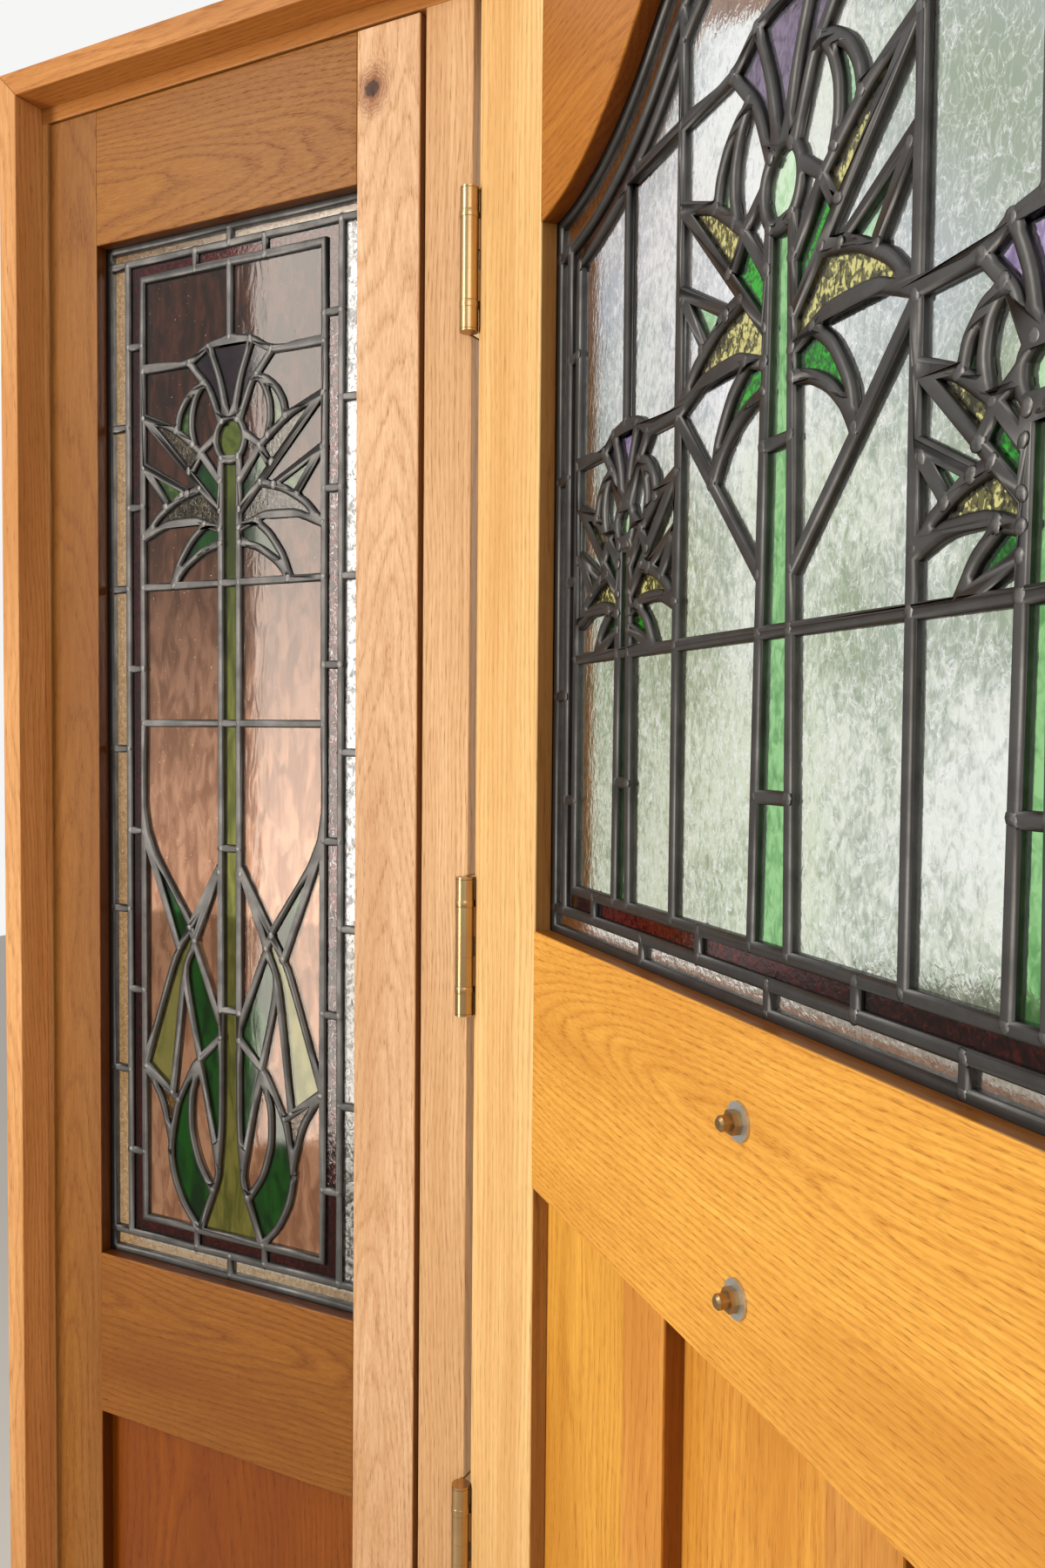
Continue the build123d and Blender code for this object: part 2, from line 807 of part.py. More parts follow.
def plate(face, x0, low, cuts):
    """A hinge leaf with its outer edge cut out round the other leaf's knuckles."""
    x1 = x0 + hinge_plate
    block(face, -pin_out, plate_reach, x0, x1, low, low + hinge_height)
    for start, end in cuts:
        block(face, -pin_out, knuckle_radius + knuckle_clear - pin_out, x0, x1,
              low + start, low + end, mode=Mode.SUBTRACT)


with BuildPart() as hinges_frame:
    for low in hinge_bottoms:
        plate(frame_face, -plate_near - hinge_plate, low, door_spans)
        for start, end in frame_spans:
            barrel(low + start, low + end, knuckle_radius)
        barrel(low, low + hinge_height, pin_radius)
save(hinges_frame.part, "hinges_frame")

with BuildPart() as hinges_door:
    for low in hinge_bottoms:
        plate(leaf_face, plate_near - leaf_shift, low, frame_spans)
        for start, end in door_spans:
            barrel(low + start + knuckle_gap, low + end - knuckle_gap, knuckle_radius)
        barrel(low, low + hinge_height, pin_radius + pin_play, mode=Mode.SUBTRACT)
save(hinges_door.part, "hinges_door")

# Studs through the middle rail, with a washer and a cap nut in the room and a boss outside


def turned(depth_near, depth_far, radius, mode=Mode.ADD):
    """Round pieces on both stud lines, between two depths behind the leaf's room face."""
    with BuildSketch(leaf_face.offset(-depth_far)) as ring:
        with Locations(*[(leaf_centre, height) for height in stud_heights]):
            Circle(radius)
    extrude(ring.sketch, amount=depth_far - depth_near, mode=mode)


with BuildPart() as studs:
    turned(-stud_out, leaf_thick, stud_radius)
save(studs.part, "studs")

with BuildPart() as stud_washers:
    turned(-washer_thick, 0, washer_radius)
    turned(-washer_thick, 0, stud_hole, mode=Mode.SUBTRACT)
save(stud_washers.part, "stud_washers")

with BuildPart() as stud_nuts:
    with BuildSketch(leaf_face.offset(washer_thick)) as flats:
        with Locations(*[(leaf_centre, height) for height in stud_heights]):
            RegularPolygon(nut_flats / 2, 6, major_radius=False)
    extrude(flats.sketch, amount=nut_thick)
    nut_out = washer_thick + nut_thick
    turned(-nut_out - cap_height, -nut_out, cap_radius)
    ends = stud_nuts.faces().sort_by(Axis(leaf_corner, -outward))[-len(stud_heights):]
    chamfer(ends.edges(), cap_bevel)
    turned(-stud_out - stud_end_gap, -washer_thick, stud_radius + thread_play,
           mode=Mode.SUBTRACT)
save(stud_nuts.part, "stud_nuts")

with BuildPart() as outside_bosses:
    turned(leaf_thick, leaf_thick + boss_height, boss_radius)
save(outside_bosses.part, "outside_bosses")
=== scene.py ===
import math
import random

import bmesh
import bpy
from bpy.props import FloatProperty, FloatVectorProperty, PointerProperty
from mathutils import Matrix, Vector


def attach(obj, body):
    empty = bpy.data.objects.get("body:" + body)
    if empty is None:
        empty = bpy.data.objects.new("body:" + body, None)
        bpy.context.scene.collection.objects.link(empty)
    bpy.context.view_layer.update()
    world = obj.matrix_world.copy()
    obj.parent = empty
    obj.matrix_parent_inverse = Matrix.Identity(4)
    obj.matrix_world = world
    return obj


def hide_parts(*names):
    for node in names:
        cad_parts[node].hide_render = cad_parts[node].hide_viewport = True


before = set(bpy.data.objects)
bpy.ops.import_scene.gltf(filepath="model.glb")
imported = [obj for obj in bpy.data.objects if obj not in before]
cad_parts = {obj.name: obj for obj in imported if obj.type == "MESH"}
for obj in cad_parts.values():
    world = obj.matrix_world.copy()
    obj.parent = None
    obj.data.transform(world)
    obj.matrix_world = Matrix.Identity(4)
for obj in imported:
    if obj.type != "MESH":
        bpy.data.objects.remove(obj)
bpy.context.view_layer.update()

bl_info = {
    "name": "Panelled front door",
    "version": (1, 0, 0),
    "blender": (4, 5, 0),
    "location": "3D View > Sidebar > Front door",
    "description": "Dresses the oak door, its leaded lights and its brass hinges",
    "category": "Object",
}

MM = 0.001
LEAF_TURN = math.radians(42.7)
HINGE_LINE = Vector((0, -7 * MM, 0))
# Turns the leaf shut, so that its light lies square to the frame, and open again
SHUT = (
    Matrix.Translation(HINGE_LINE)
    @ Matrix.Rotation(LEAF_TURN, 4, "Z")
    @ Matrix.Translation(-HINGE_LINE)
)
OPEN = SHUT.inverted()

# The camera, fitted to the photograph's edges: where it stands in metres, its lens in
# millimetres and the way it looks in degrees
CAMERA_PLACE = (0.4435, -0.7809, 1.4987)
CAMERA_LENS = 28.18
CAMERA_YAW, CAMERA_PITCH, CAMERA_ROLL = 27.16, 2.29, 0.51
# Each lamp's name, place and the spot that it faces in metres, width, height and watts
LAMPS = (
    ("window", (-1.25, -1.6, 1.76), (0.0, 0.0, 1.5), 0.45, 2.6, 42),
    ("fill", (1.7, -2.6, 2.3), (0.2, 0.0, 1.4), 2.0, 2.0, 26),
    ("street", (2.7, 2.3, 2.3), (0.1, 0.0, 1.3), 1.8, 1.8, 49),
)

# Colours of the lamps, of the light from all round and of the backdrop
LAMP_LIGHT = "FFF6EA"
WORLD_LIGHT = "F4EFE8"
WORLD_STRENGTH = 0.44
BACKDROP = "F6F6F5"
# Width of the floor in metres
FLOOR_SIZE = 14

# Depths from the room face of the door or sash, in millimetres
GLASS_NEAR = 14.6
GLASS_FAR = 17.6
CAME_MIDDLE = 16.1
CAME_SHOULDER = 13.5
# How far the glass reaches in under the flange of its came
GLASS_TUCK = 0.7
# The three steps in and up that round a came
CAME_STEPS = ((0.6, 0.8), (0.9, 0.65), (1.0, 0.3))
# Half a came's width, and how far apart the corners that share one joint lie
CAME_HALF = 4.0
JOINT_REACH = 6.5
# In millimetres: vertices of the cames' solid this near each other are one, and its faces
# this near its room face belong to that
OUTLINE_WELD = 0.02
ON_FACE = 0.01
# How often an outline is smoothed, inward and then outward again
SMOOTH_PASSES = 6
SMOOTH_IN = 0.5
SMOOTH_OUT = 0.52
# An outline's vertices go where it bends by less than this many degrees, and its runs shorter
# than this many millimetres
FLAT_BEND = 0.5
SHORT_RUN = 0.9
# The least bends of an outline that make a curve and a corner, in radians
STRAIGHT_BEND = 0.03
CORNER_BEND = 0.62
# Two runs of a pane's outline that meet at less than this make a corner, also in radians
SHARP_CORNER = 2.5
# How far a solder joint stands over its middle, and its middle over the came's shoulder
SOLDER_RISE = 0.8
SOLDER_LIFT = 1.2
# Least and greatest size of a joint, and how oval it is, as shares
SOLDER_SIZES = (0.85, 1.12)
SOLDER_OVALS = (0.7, 0.95)

# The hinges in millimetres: their height, barrels, outer knuckles, bearing rings and the fine
# line turned near each end
HINGE_HEIGHT = 101.6
BARREL_RADIUS = 6.75
OUTER_KNUCKLE = 16.4
BEARING = 5.4
BEARING_EASE = 0.5
END_LINE = 1.6
END_LINE_HALF = 0.2
END_LINE_RISE = 0.05
# One hinge begins at least this far over another's top
HINGES_APART = 100
# How near two vertices of a solid lie that are one, on oak and on metal
WELD_REACH = 0.01
METAL_WELD_REACH = 0.005

# The drawn patterns, in millimetres: how far a lily stands from the light's middle, the height of
# its top line and its size as a share of the large one
DOOR_MIDDLE = 382.5
DOOR_LILIES = ((0.0, 1803.0, 1.0), (-156.5, 1661.0, 0.676), (156.5, 1661.0, 0.676))
SASH_MIDDLE = -236.8
SASH_LILIES = ((0.0, 1806.0, 1.0),)
FOOT_LINE = 1073.3
# The middle, the lilies and the foot of each light's pattern
DOOR_PATTERN = (DOOR_MIDDLE, DOOR_LILIES, None)
SASH_PATTERN = (SASH_MIDDLE, SASH_LILIES, FOOT_LINE)

# One spot inside each coloured pane of a lily, right half, from the middle of its top line
LILY_SPOTS = {
    "fan": ((0, -20), (16, -24)),
    "bulb": ((0, -66),),
    "pale": ((46, -45), (64, -107)),
    "yellow": ((54, -68), (42, -119)),
    "green": ((26, -98), (32, -153)),
}
# The same for the broad leaves round the foot of the stem, from the bottom of its field
FOOT_SPOTS = {
    "green": ((60, 269), (36.5, 263), (28, 188), (21, 122), (46, 50)),
    "wheat": ((52, 231), (70, 165)),
    "amber": ((69, 106),),
}
# A stem's pane stands on the lily's middle, is no wider than this and begins under its leaves
STEM_OFF = 2
STEM_WIDTH = 90
STEM_TOP = 75

# How far out and how low the panes of a light's two borders reach, in millimetres
DOOR_LIGHT_FOOT = 1374.0
DOOR_STRIP_SIDE, DOOR_STRIP_LOW = 246, 10
DOOR_BORDER_SIDE, DOOR_BORDER_LOW = 227, 24
# The long panes under the arch: the least width, height of their foot and way from the middle
ARCH_PANE_WIDTH, ARCH_PANE_FOOT, ARCH_PANE_OFF = 100, 1802, 60
SASH_STRIP_SIDE, SASH_STRIP_LOW, SASH_STRIP_HIGH = 115, 1052, 1900
SASH_BORDER_SIDE, SASH_BORDER_LOW, SASH_BORDER_HIGH = 98, 1066, 1885
# Right of this, the sidelight's border and strip panes take copies of their glass with painted glints for
# the light from the doorway, the strips also with deeper painted shade
SUNWARD_FROM = SASH_MIDDLE + 60

# Oak, in millimetres along the grain and across it. Pores are drawn about twice their real
# width so that they show
FINE_PORE = (13, 0.62)
COARSE_PORE = (24, 0.95)
STREAK = (210, 3.2)
FIBRE = (600, 1.3)
CLOUD = (520, 70)
RING_DRIFT = (300, 90)
RING_WOBBLE = (90, 9)
RING_WANDER = (0, 38, 26)
KNOT_EDGE = (9, 6)
KNOT_RING = 2.4
SASH_KNOT = (947, 14)
# Where the painted shade of a worked side begins and where it is full, from the board's face
SIDE_BEGINS = 0.7
SIDE_DARK = 1.6
# How much the painted shade darkens a worked side, as shares of its colour
SIDE_SHADE = (0.36, 0.25, 0.15)
# Shares of a board's colour in its spring bands, its pores and its palest clouds
DARK_SHARE = (0.68, 0.53, 0.36)
DEEP_SHARE = (0.36, 0.25, 0.15)
PALE_SHARE = (1.13, 1.17, 1.22)
# The turn that brings the grain of an upright board, and of a level one, along x
GRAIN_UP = Matrix.Rotation(math.radians(90), 3, "Y")
GRAIN_ALONG = Matrix.Identity(3)

# Patterns of the metals and the glass, in millimetres: the grit of a metal, the broad clouds and
# drifts of a sheet of glass and how far apart its seeds lie
METAL_GRIT = 1.6
GLASS_CLOUD = 120
GLASS_DRIFT = 260
SEED_SPACING = 6.5
# Heights in metres where a glass begins to turn to its upper colours and where it has them: painted light
# above on the door's glass, painted shade above on the sidelight's
ABOVE_BEGINS, ABOVE_FULL = 1.25, 1.75
WHITE = (1, 1, 1)

# Each board's tone, the way of its grain, how far the tree's heart lies behind and across
# it, the slope of the cut in degrees and the width of a ring
FRAME_BOARDS = (
    ("jamb_left", "D09A60", GRAIN_UP, (90, 30), 1.0, 4.0),
    ("jamb_right", "D09A60", GRAIN_UP, (90, 20), 1.2, 4.5),
    ("mullion", "DAB285", GRAIN_UP, (120, 150), 0.5, 3.2),
    ("frame_head", "C58D50", GRAIN_ALONG, (80, 10), 2.0, 4.0),
    ("sill", "C08548", GRAIN_ALONG, (70, 20), 2.0, 5.0),
    ("lining_left", "D8A46C", GRAIN_UP, (70, 25), 1.6, 4.0),
    ("lining_right", "B9804A", GRAIN_UP, (70, -25), 1.6, 4.0),
    ("lining_head", "BE8242", GRAIN_ALONG, (60, 15), 1.5, 4.0),
)
# The sash's tones hold painted light and shade besides the oak's own: its left stile, rails and panel are
# darkened as painted shade, the panel most, and its right stile and the beads, seen through the strips, are
# paled as painted light
SASH_BOARDS = (
    ("sash_stile_left", "90602A", GRAIN_UP, (48, 8), 3.5, 5.5),
    ("sash_stile_right", "DEB892", GRAIN_UP, (45, 6), 4.0, 3.6),
    ("sash_rail_bottom", "9A5C24", GRAIN_ALONG, (50, 20), 4.0, 5.0),
    ("sash_rail_mid", "8E5A1C", GRAIN_ALONG, (46, 30), 5.0, 5.5),
    ("sash_rail_top", "966220", GRAIN_ALONG, (60, -25), 5.0, 4.6),
    ("sash_panel", "864600", GRAIN_UP, (60, 40), 2.0, 5.5),
    ("sash_beads", "F6DDB4", GRAIN_UP, (150, 90), 0.8, 4.0),
)
DOOR_BOARDS = (
    ("door_stile_hinge", "F4CC8E", GRAIN_UP, (130, 190), 0.6, 8.0),
    ("door_stile_latch", "EBB466", GRAIN_UP, (130, -160), 0.8, 3.6),
    ("door_rail_bottom", "E2A04A", GRAIN_ALONG, (60, 40), 3.0, 4.6),
    ("door_rail_mid", "F0B452", GRAIN_ALONG, (34, 34), -4.5, 3.6),
    ("door_rail_top", "B27226", GRAIN_ALONG, (60, -60), 3.0, 4.6),
    ("door_muntin_left", "E0A04C", GRAIN_UP, (120, 60), 0.8, 4.0),
    ("door_muntin_right", "DDA04E", GRAIN_UP, (120, -60), 0.8, 4.0),
    ("door_panel_left", "EAB04C", GRAIN_UP, (60, 30), 2.0, 4.6),
    ("door_panel_middle", "E4A446", GRAIN_UP, (50, -20), 2.4, 5.2),
    ("door_panel_right", "E8AA4C", GRAIN_UP, (60, 30), -2.0, 4.6),
    ("door_beads", "C68A4C", GRAIN_UP, (150, 90), 0.8, 4.0),
)
# Boards whose sides get no painted shade and stay as pale as their faces
PALE_SIDES = ("panel", "beads", "lining", "jamb", "mullion", "head", "sill")


def linear(code):
    """The linear colour of an sRGB hex value."""
    parts = [int(code[place:place + 2], 16) / 255 for place in (0, 2, 4)]
    return tuple(part / 12.92 if part <= 0.04045 else ((part + 0.055) / 1.055) ** 2.4 for part in parts)


def tint(name, code):
    """A colour that a user can set."""
    return FloatVectorProperty(name=name, description=f"Colour of the {name.lower()}", subtype="COLOR",
                               size=3, min=0, max=1, default=linear(code))


def length(name, value, description):
    """A small length that a user can set, in metres."""
    return FloatProperty(name=name, description=description, subtype="DISTANCE", unit="LENGTH",
                         default=value * MM, min=0, precision=5)


# Settings


class DoorSizes(bpy.types.PropertyGroup):
    """Sizes of what is added to the joinery."""

    arris: length("Arris", 0.9, "How far the edges of the oak are eased")
    glass_near: length("Glass face", GLASS_NEAR, "Depth of the glass from the room face")
    glass_far: length("Glass back", GLASS_FAR, "Depth of the back of the glass")
    solder_radius: length("Solder joint", 3.8, "Radius of a soldered joint between cames")
    bearing_radius: length("Hinge bearing", 7.0, "Radius of the bearing rings of a hinge")


class DoorColours(bpy.types.PropertyGroup):
    """Colours of the finishes."""

    brass: tint("Brass", "B6986D")
    lead: tint("Lead", "555453")
    zinc: tint("Zinc", "C9CBC8")
    floor: tint("Floor", "E8E5E0")


# Helpers for materials


def add(tree, kind, values=None, links=None, **settings):
    """Adds a node with its settings, socket values and links."""
    made = tree.nodes.new(kind)
    for name, value in settings.items():
        setattr(made, name, value)
    for socket, value in (values or {}).items():
        made.inputs[socket].default_value = value
    for socket, source in (links or {}).items():
        tree.links.new(source, made.inputs[socket])
    return made


def finish(name, **values):
    """A new material with its tree and shader, whose plain sockets are set by value."""
    material = bpy.data.materials.new(name)
    material.use_nodes = True
    tree = material.node_tree
    shader = tree.nodes["Principled BSDF"]
    for socket, value in values.items():
        shader.inputs[socket.replace("_", " ")].default_value = value
    return material, tree, shader


def colour(value):
    """A colour with full alpha."""
    return (*value[:3], 1.0)


def ramp(tree, source, stops):
    """A colour ramp through grey or colour stops."""
    made = add(tree, "ShaderNodeValToRGB", links={"Fac": source})
    band = made.color_ramp
    while len(band.elements) < len(stops):
        band.elements.new(0.5)
    for element, (place, value) in zip(band.elements, stops):
        element.position = place
        element.color = (value, value, value, 1) if isinstance(value, (int, float)) else colour(value)
    return made.outputs["Color"]


def fading(tree, distance, reach, soft):
    """A share that is whole near a centre and fades out at its reach."""
    faded = add(tree, "ShaderNodeMapRange", interpolation_type="SMOOTHSTEP", links={"Value": distance},
                values={"From Min": reach, "From Max": max(reach - soft, 0), "To Min": 0.0, "To Max": 1.0})
    return faded.outputs[0]


def over(tree, base, share, tone, strength=1.0):
    """Lays a tone, plain or from another node, over the base by a share of it."""
    if strength < 1:
        share = add(tree, "ShaderNodeMath", operation="MULTIPLY",
                    links={0: share}, values={1: strength}).outputs[0]
    mixed = add(tree, "ShaderNodeMix", data_type="RGBA", links={0: share, 6: base})
    if isinstance(tone, bpy.types.NodeSocket):
        tree.links.new(tone, mixed.inputs[7])
    else:
        mixed.inputs[7].default_value = colour(tone)
    return mixed.outputs[2]


def wear(piece, material):
    """Puts one material all over a piece."""
    slots = piece.material_slots
    if len(slots):
        for slot in slots:
            slot.material = material
    else:
        piece.data.materials.append(material)


# Materials


def stretched(tree, board, seed, size, shift=0.0, **values):
    """A noise whose features have a length along the grain and a width across it."""
    along, across = size
    scaled = add(tree, "ShaderNodeMapping", links={"Vector": board}, values={
        "Scale": (1 / along, 1 / across, 1 / across),
        "Location": (seed * 3.7 + shift, seed * 1.3, seed * 2.1)})
    return add(tree, "ShaderNodeTexNoise", links={"Vector": scaled.outputs["Vector"]},
               values={"Scale": 1.0, **values}).outputs


def from_knot(tree, board, knot, squash):
    """The way and the distance from a knot, which is longer along the grain than across it."""
    x, z = knot
    away = add(tree, "ShaderNodeVectorMath", operation="SUBTRACT", links={0: board}, values={1: (x, 0, z)})
    away = add(tree, "ShaderNodeVectorMath", operation="MULTIPLY",
               links={0: away.outputs[0]}, values={1: (squash, 0, 1)})
    far = add(tree, "ShaderNodeVectorMath", operation="LENGTH", links={0: away.outputs[0]})
    return away.outputs[0], far.outputs["Value"]


def ring_bands(tree, board, sloped, seed, pith, ring, knots):
    """The dark spring band of each growth ring, counted outward from the tree's heart, which
    wanders slowly along the board. A knot pushes the rings apart round itself."""
    drift = add(tree, "ShaderNodeVectorMath", operation="SUBTRACT", values={1: (0.5, 0.5, 0.5)},
                links={0: stretched(tree, sloped, seed, RING_DRIFT, Detail=2.0)["Color"]})
    drift = add(tree, "ShaderNodeVectorMath", operation="MULTIPLY",
                links={0: drift.outputs[0]}, values={1: RING_WANDER})
    bent = add(tree, "ShaderNodeVectorMath", operation="ADD", links={0: sloped, 1: drift.outputs[0]})
    for knot in knots:
        away, far = from_knot(tree, board, knot, 0.45)
        push = add(tree, "ShaderNodeVectorMath", operation="SCALE",
                   links={0: away, "Scale": fading(tree, far, 34, 26)})
        bent = add(tree, "ShaderNodeVectorMath", operation="ADD",
                   links={0: bent.outputs[0], 1: push.outputs[0]})
    behind, across = pith
    centred = add(tree, "ShaderNodeMapping", links={"Vector": bent.outputs[0]},
                  values={"Location": (0, behind, -across), "Scale": (0, 1, 1)})
    reach = add(tree, "ShaderNodeVectorMath", operation="LENGTH", links={0: centred.outputs["Vector"]})
    count = add(tree, "ShaderNodeMath", operation="DIVIDE",
                links={0: reach.outputs["Value"]}, values={1: ring})
    wobble = add(tree, "ShaderNodeMath", operation="MULTIPLY_ADD", values={1: 1.0}, links={
        0: stretched(tree, sloped, seed, RING_WOBBLE, Detail=3.0)["Fac"], 2: count.outputs[0]})
    phase = add(tree, "ShaderNodeMath", operation="FRACT", links={0: wobble.outputs[0]})
    return ramp(tree, phase.outputs[0], ((0.0, 0.9), (0.1, 0.55), (0.38, 0.08), (0.8, 0.1), (1.0, 0.9)))


def knot_tone(tree, tone, board, sloped, seed, knot):
    """Brown halo, crowded rings and dark heart of a knot with an uneven edge."""
    far = from_knot(tree, board, knot, 0.8)[1]
    uneven = add(tree, "ShaderNodeMath", operation="MULTIPLY_ADD", values={1: 10.0}, links={
        0: stretched(tree, sloped, seed, KNOT_EDGE, shift=3.0, Detail=3.0)["Fac"], 2: far}).outputs[0]
    turns = add(tree, "ShaderNodeMath", operation="DIVIDE", links={0: uneven}, values={1: KNOT_RING})
    turns = add(tree, "ShaderNodeMath", operation="FRACT", links={0: turns.outputs[0]})
    bands = ramp(tree, turns.outputs[0], ((0.0, 0.9), (0.3, 0.1), (0.75, 0.15), (1.0, 0.9)))
    bands = add(tree, "ShaderNodeMath", operation="MULTIPLY",
                links={0: bands, 1: fading(tree, uneven, 27, 12)})
    tone = over(tree, tone, fading(tree, uneven, 24, 14), linear("8E4E22"), 0.65)
    tone = over(tree, tone, bands.outputs[0], linear("6E3A18"), 0.75)
    return over(tree, tone, fading(tree, uneven, 12.5, 3), linear("361808"), 0.95)


def side_shade(tree, tone, board, thick):
    """The worked sides between a board's two faces, painted darker than the faces as shade."""
    depth = add(tree, "ShaderNodeSeparateXYZ", links={"Vector": board}).outputs["Y"]
    behind = add(tree, "ShaderNodeMapRange", links={"Value": depth},
                 values={"From Min": SIDE_BEGINS - thick / 2, "From Max": SIDE_DARK - thick / 2})
    before = add(tree, "ShaderNodeMapRange", links={"Value": depth},
                 values={"From Min": thick / 2 - SIDE_BEGINS, "From Max": thick / 2 - SIDE_DARK})
    side = add(tree, "ShaderNodeMath", operation="MULTIPLY",
               links={0: behind.outputs[0], 1: before.outputs[0]})
    return add(tree, "ShaderNodeMix", data_type="RGBA", blend_type="MULTIPLY",
               links={0: side.outputs[0], 6: tone}, values={7: colour(SIDE_SHADE)}).outputs[2]


def oak(node, light, grain, pith, seed, slope, ring, figure, shaded_sides, knots):
    """Flat-sawn oak under satin lacquer: growth rings cut at a slope run into pointed loops along
    the board, their spring bands full of short dark pores, under a low even sheen. pith is how
    far the tree's heart lies behind the board and across from its middle, figure the strength of
    the rings."""
    material, tree, shader = finish(f"satin lacquered oak {node}", Specular_IOR_Level=0.2)
    on_leaf = node.startswith("door_")
    shut = SHUT if on_leaf else Matrix.Identity(4)
    corners = [(shut @ vertex.co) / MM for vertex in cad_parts[node].data.vertices]
    middle = Vector([(min(corner[axis] for corner in corners) + max(corner[axis] for corner in corners)) / 2
                     for axis in range(3)])
    thick = max(corner.y for corner in corners) - min(corner.y for corner in corners)
    turn = grain @ (Matrix.Rotation(LEAF_TURN, 3, "Z") if on_leaf else Matrix.Identity(3))
    start = grain @ (shut.translation / MM - middle)
    place = add(tree, "ShaderNodeTexCoord").outputs["Object"]
    # Millimetres from the board's middle with x along the grain, y through it and z across it
    board = add(tree, "ShaderNodeMapping", links={"Vector": place}, values={
        "Rotation": turn.to_euler("XYZ"), "Scale": (1 / MM, 1 / MM, 1 / MM), "Location": start,
    }).outputs["Vector"]
    sloped = add(tree, "ShaderNodeMapping", links={"Vector": board}, values={
        "Rotation": (0, 0, math.radians(slope))}).outputs["Vector"]

    spring = ring_bands(tree, board, sloped, seed, pith, ring, knots)
    fine = stretched(tree, sloped, seed, FINE_PORE, Detail=1.0)["Fac"]
    coarse = stretched(tree, sloped, seed, COARSE_PORE, shift=5.0, Detail=1.0)["Fac"]
    crowd = add(tree, "ShaderNodeMath", operation="MULTIPLY_ADD",
                links={0: spring}, values={1: 0.75, 2: 0.3})
    pores = add(tree, "ShaderNodeMath", operation="MAXIMUM", links={
        0: ramp(tree, fine, ((0.55, 0.0), (0.66, 1.0))),
        1: ramp(tree, coarse, ((0.6, 0.0), (0.72, 1.0)))})
    pores = add(tree, "ShaderNodeMath", operation="MULTIPLY",
                links={0: pores.outputs[0], 1: crowd.outputs[0]}, use_clamp=True).outputs[0]
    streaks = stretched(tree, sloped, seed, STREAK, shift=2.0, Detail=3.0)["Fac"]
    fibres = stretched(tree, sloped, seed, FIBRE, shift=4.0, Detail=2.0)["Fac"]
    clouds = stretched(tree, sloped, seed, CLOUD, shift=9.0, Detail=2.0)["Fac"]

    dark = [part * share for part, share in zip(light, DARK_SHARE)]
    deep = [part * share for part, share in zip(light, DEEP_SHARE)]
    pale = [min(1.0, part * share) for part, share in zip(light, PALE_SHARE)]
    dull = [a * 0.35 + b * 0.65 for a, b in zip(light, dark)]
    tone = ramp(tree, clouds, ((0.34, dull), (0.5, light), (0.64, pale)))
    tone = over(tree, tone, ramp(tree, streaks, ((0.36, 0.0), (0.7, 0.8))), dark, 0.5)
    tone = over(tree, tone, ramp(tree, fibres, ((0.4, 0.0), (0.66, 1.0))), dark, 0.34)
    tone = over(tree, tone, spring, dark, figure)
    tone = over(tree, tone, pores, deep, 0.62)
    for knot in knots:
        tone = knot_tone(tree, tone, board, sloped, seed, knot)
    # Painted shade on the worked sides between the board's faces
    if shaded_sides:
        tone = side_shade(tree, tone, board, thick)
    tree.links.new(tone, shader.inputs["Base Color"])

    tree.links.new(ramp(tree, pores, ((0.0, 0.36), (1.0, 0.6))), shader.inputs["Roughness"])
    relief = add(tree, "ShaderNodeMath", operation="MULTIPLY_ADD",
                 links={0: spring, 2: pores}, values={1: 0.3})
    bump = add(tree, "ShaderNodeBump", links={"Height": relief.outputs[0]},
               values={"Strength": 0.3, "Distance": 0.1 * MM}, invert=True)
    tree.links.new(bump.outputs["Normal"], shader.inputs["Normal"])
    return material


def metal(name, tone, rough, patch, dull=0.8, grit=0.05):
    """A metal whose sheen and colour vary in soft patches, as handling and polish leave them. One
    that is there already is used again."""
    if name in bpy.data.materials:
        return bpy.data.materials[name]
    material, tree, shader = finish(name, Metallic=1.0)
    place = add(tree, "ShaderNodeTexCoord").outputs["Object"]
    cloud = add(tree, "ShaderNodeTexNoise", links={"Vector": place},
                values={"Scale": 1 / (patch * MM), "Detail": 4.0, "Roughness": 0.6}).outputs["Fac"]
    fine = add(tree, "ShaderNodeTexNoise", links={"Vector": place},
               values={"Scale": 1 / (METAL_GRIT * MM), "Detail": 2.0}).outputs["Fac"]
    shade = ramp(tree, cloud, ((0.36, [part * dull for part in tone]), (0.62, tone)))
    tree.links.new(shade, shader.inputs["Base Color"])
    tree.links.new(ramp(tree, cloud, ((0.3, rough * 1.3), (0.7, rough))), shader.inputs["Roughness"])
    bump = add(tree, "ShaderNodeBump", links={"Height": fine},
               values={"Strength": 0.5, "Distance": grit * MM})
    tree.links.new(bump.outputs["Normal"], shader.inputs["Normal"])
    return material


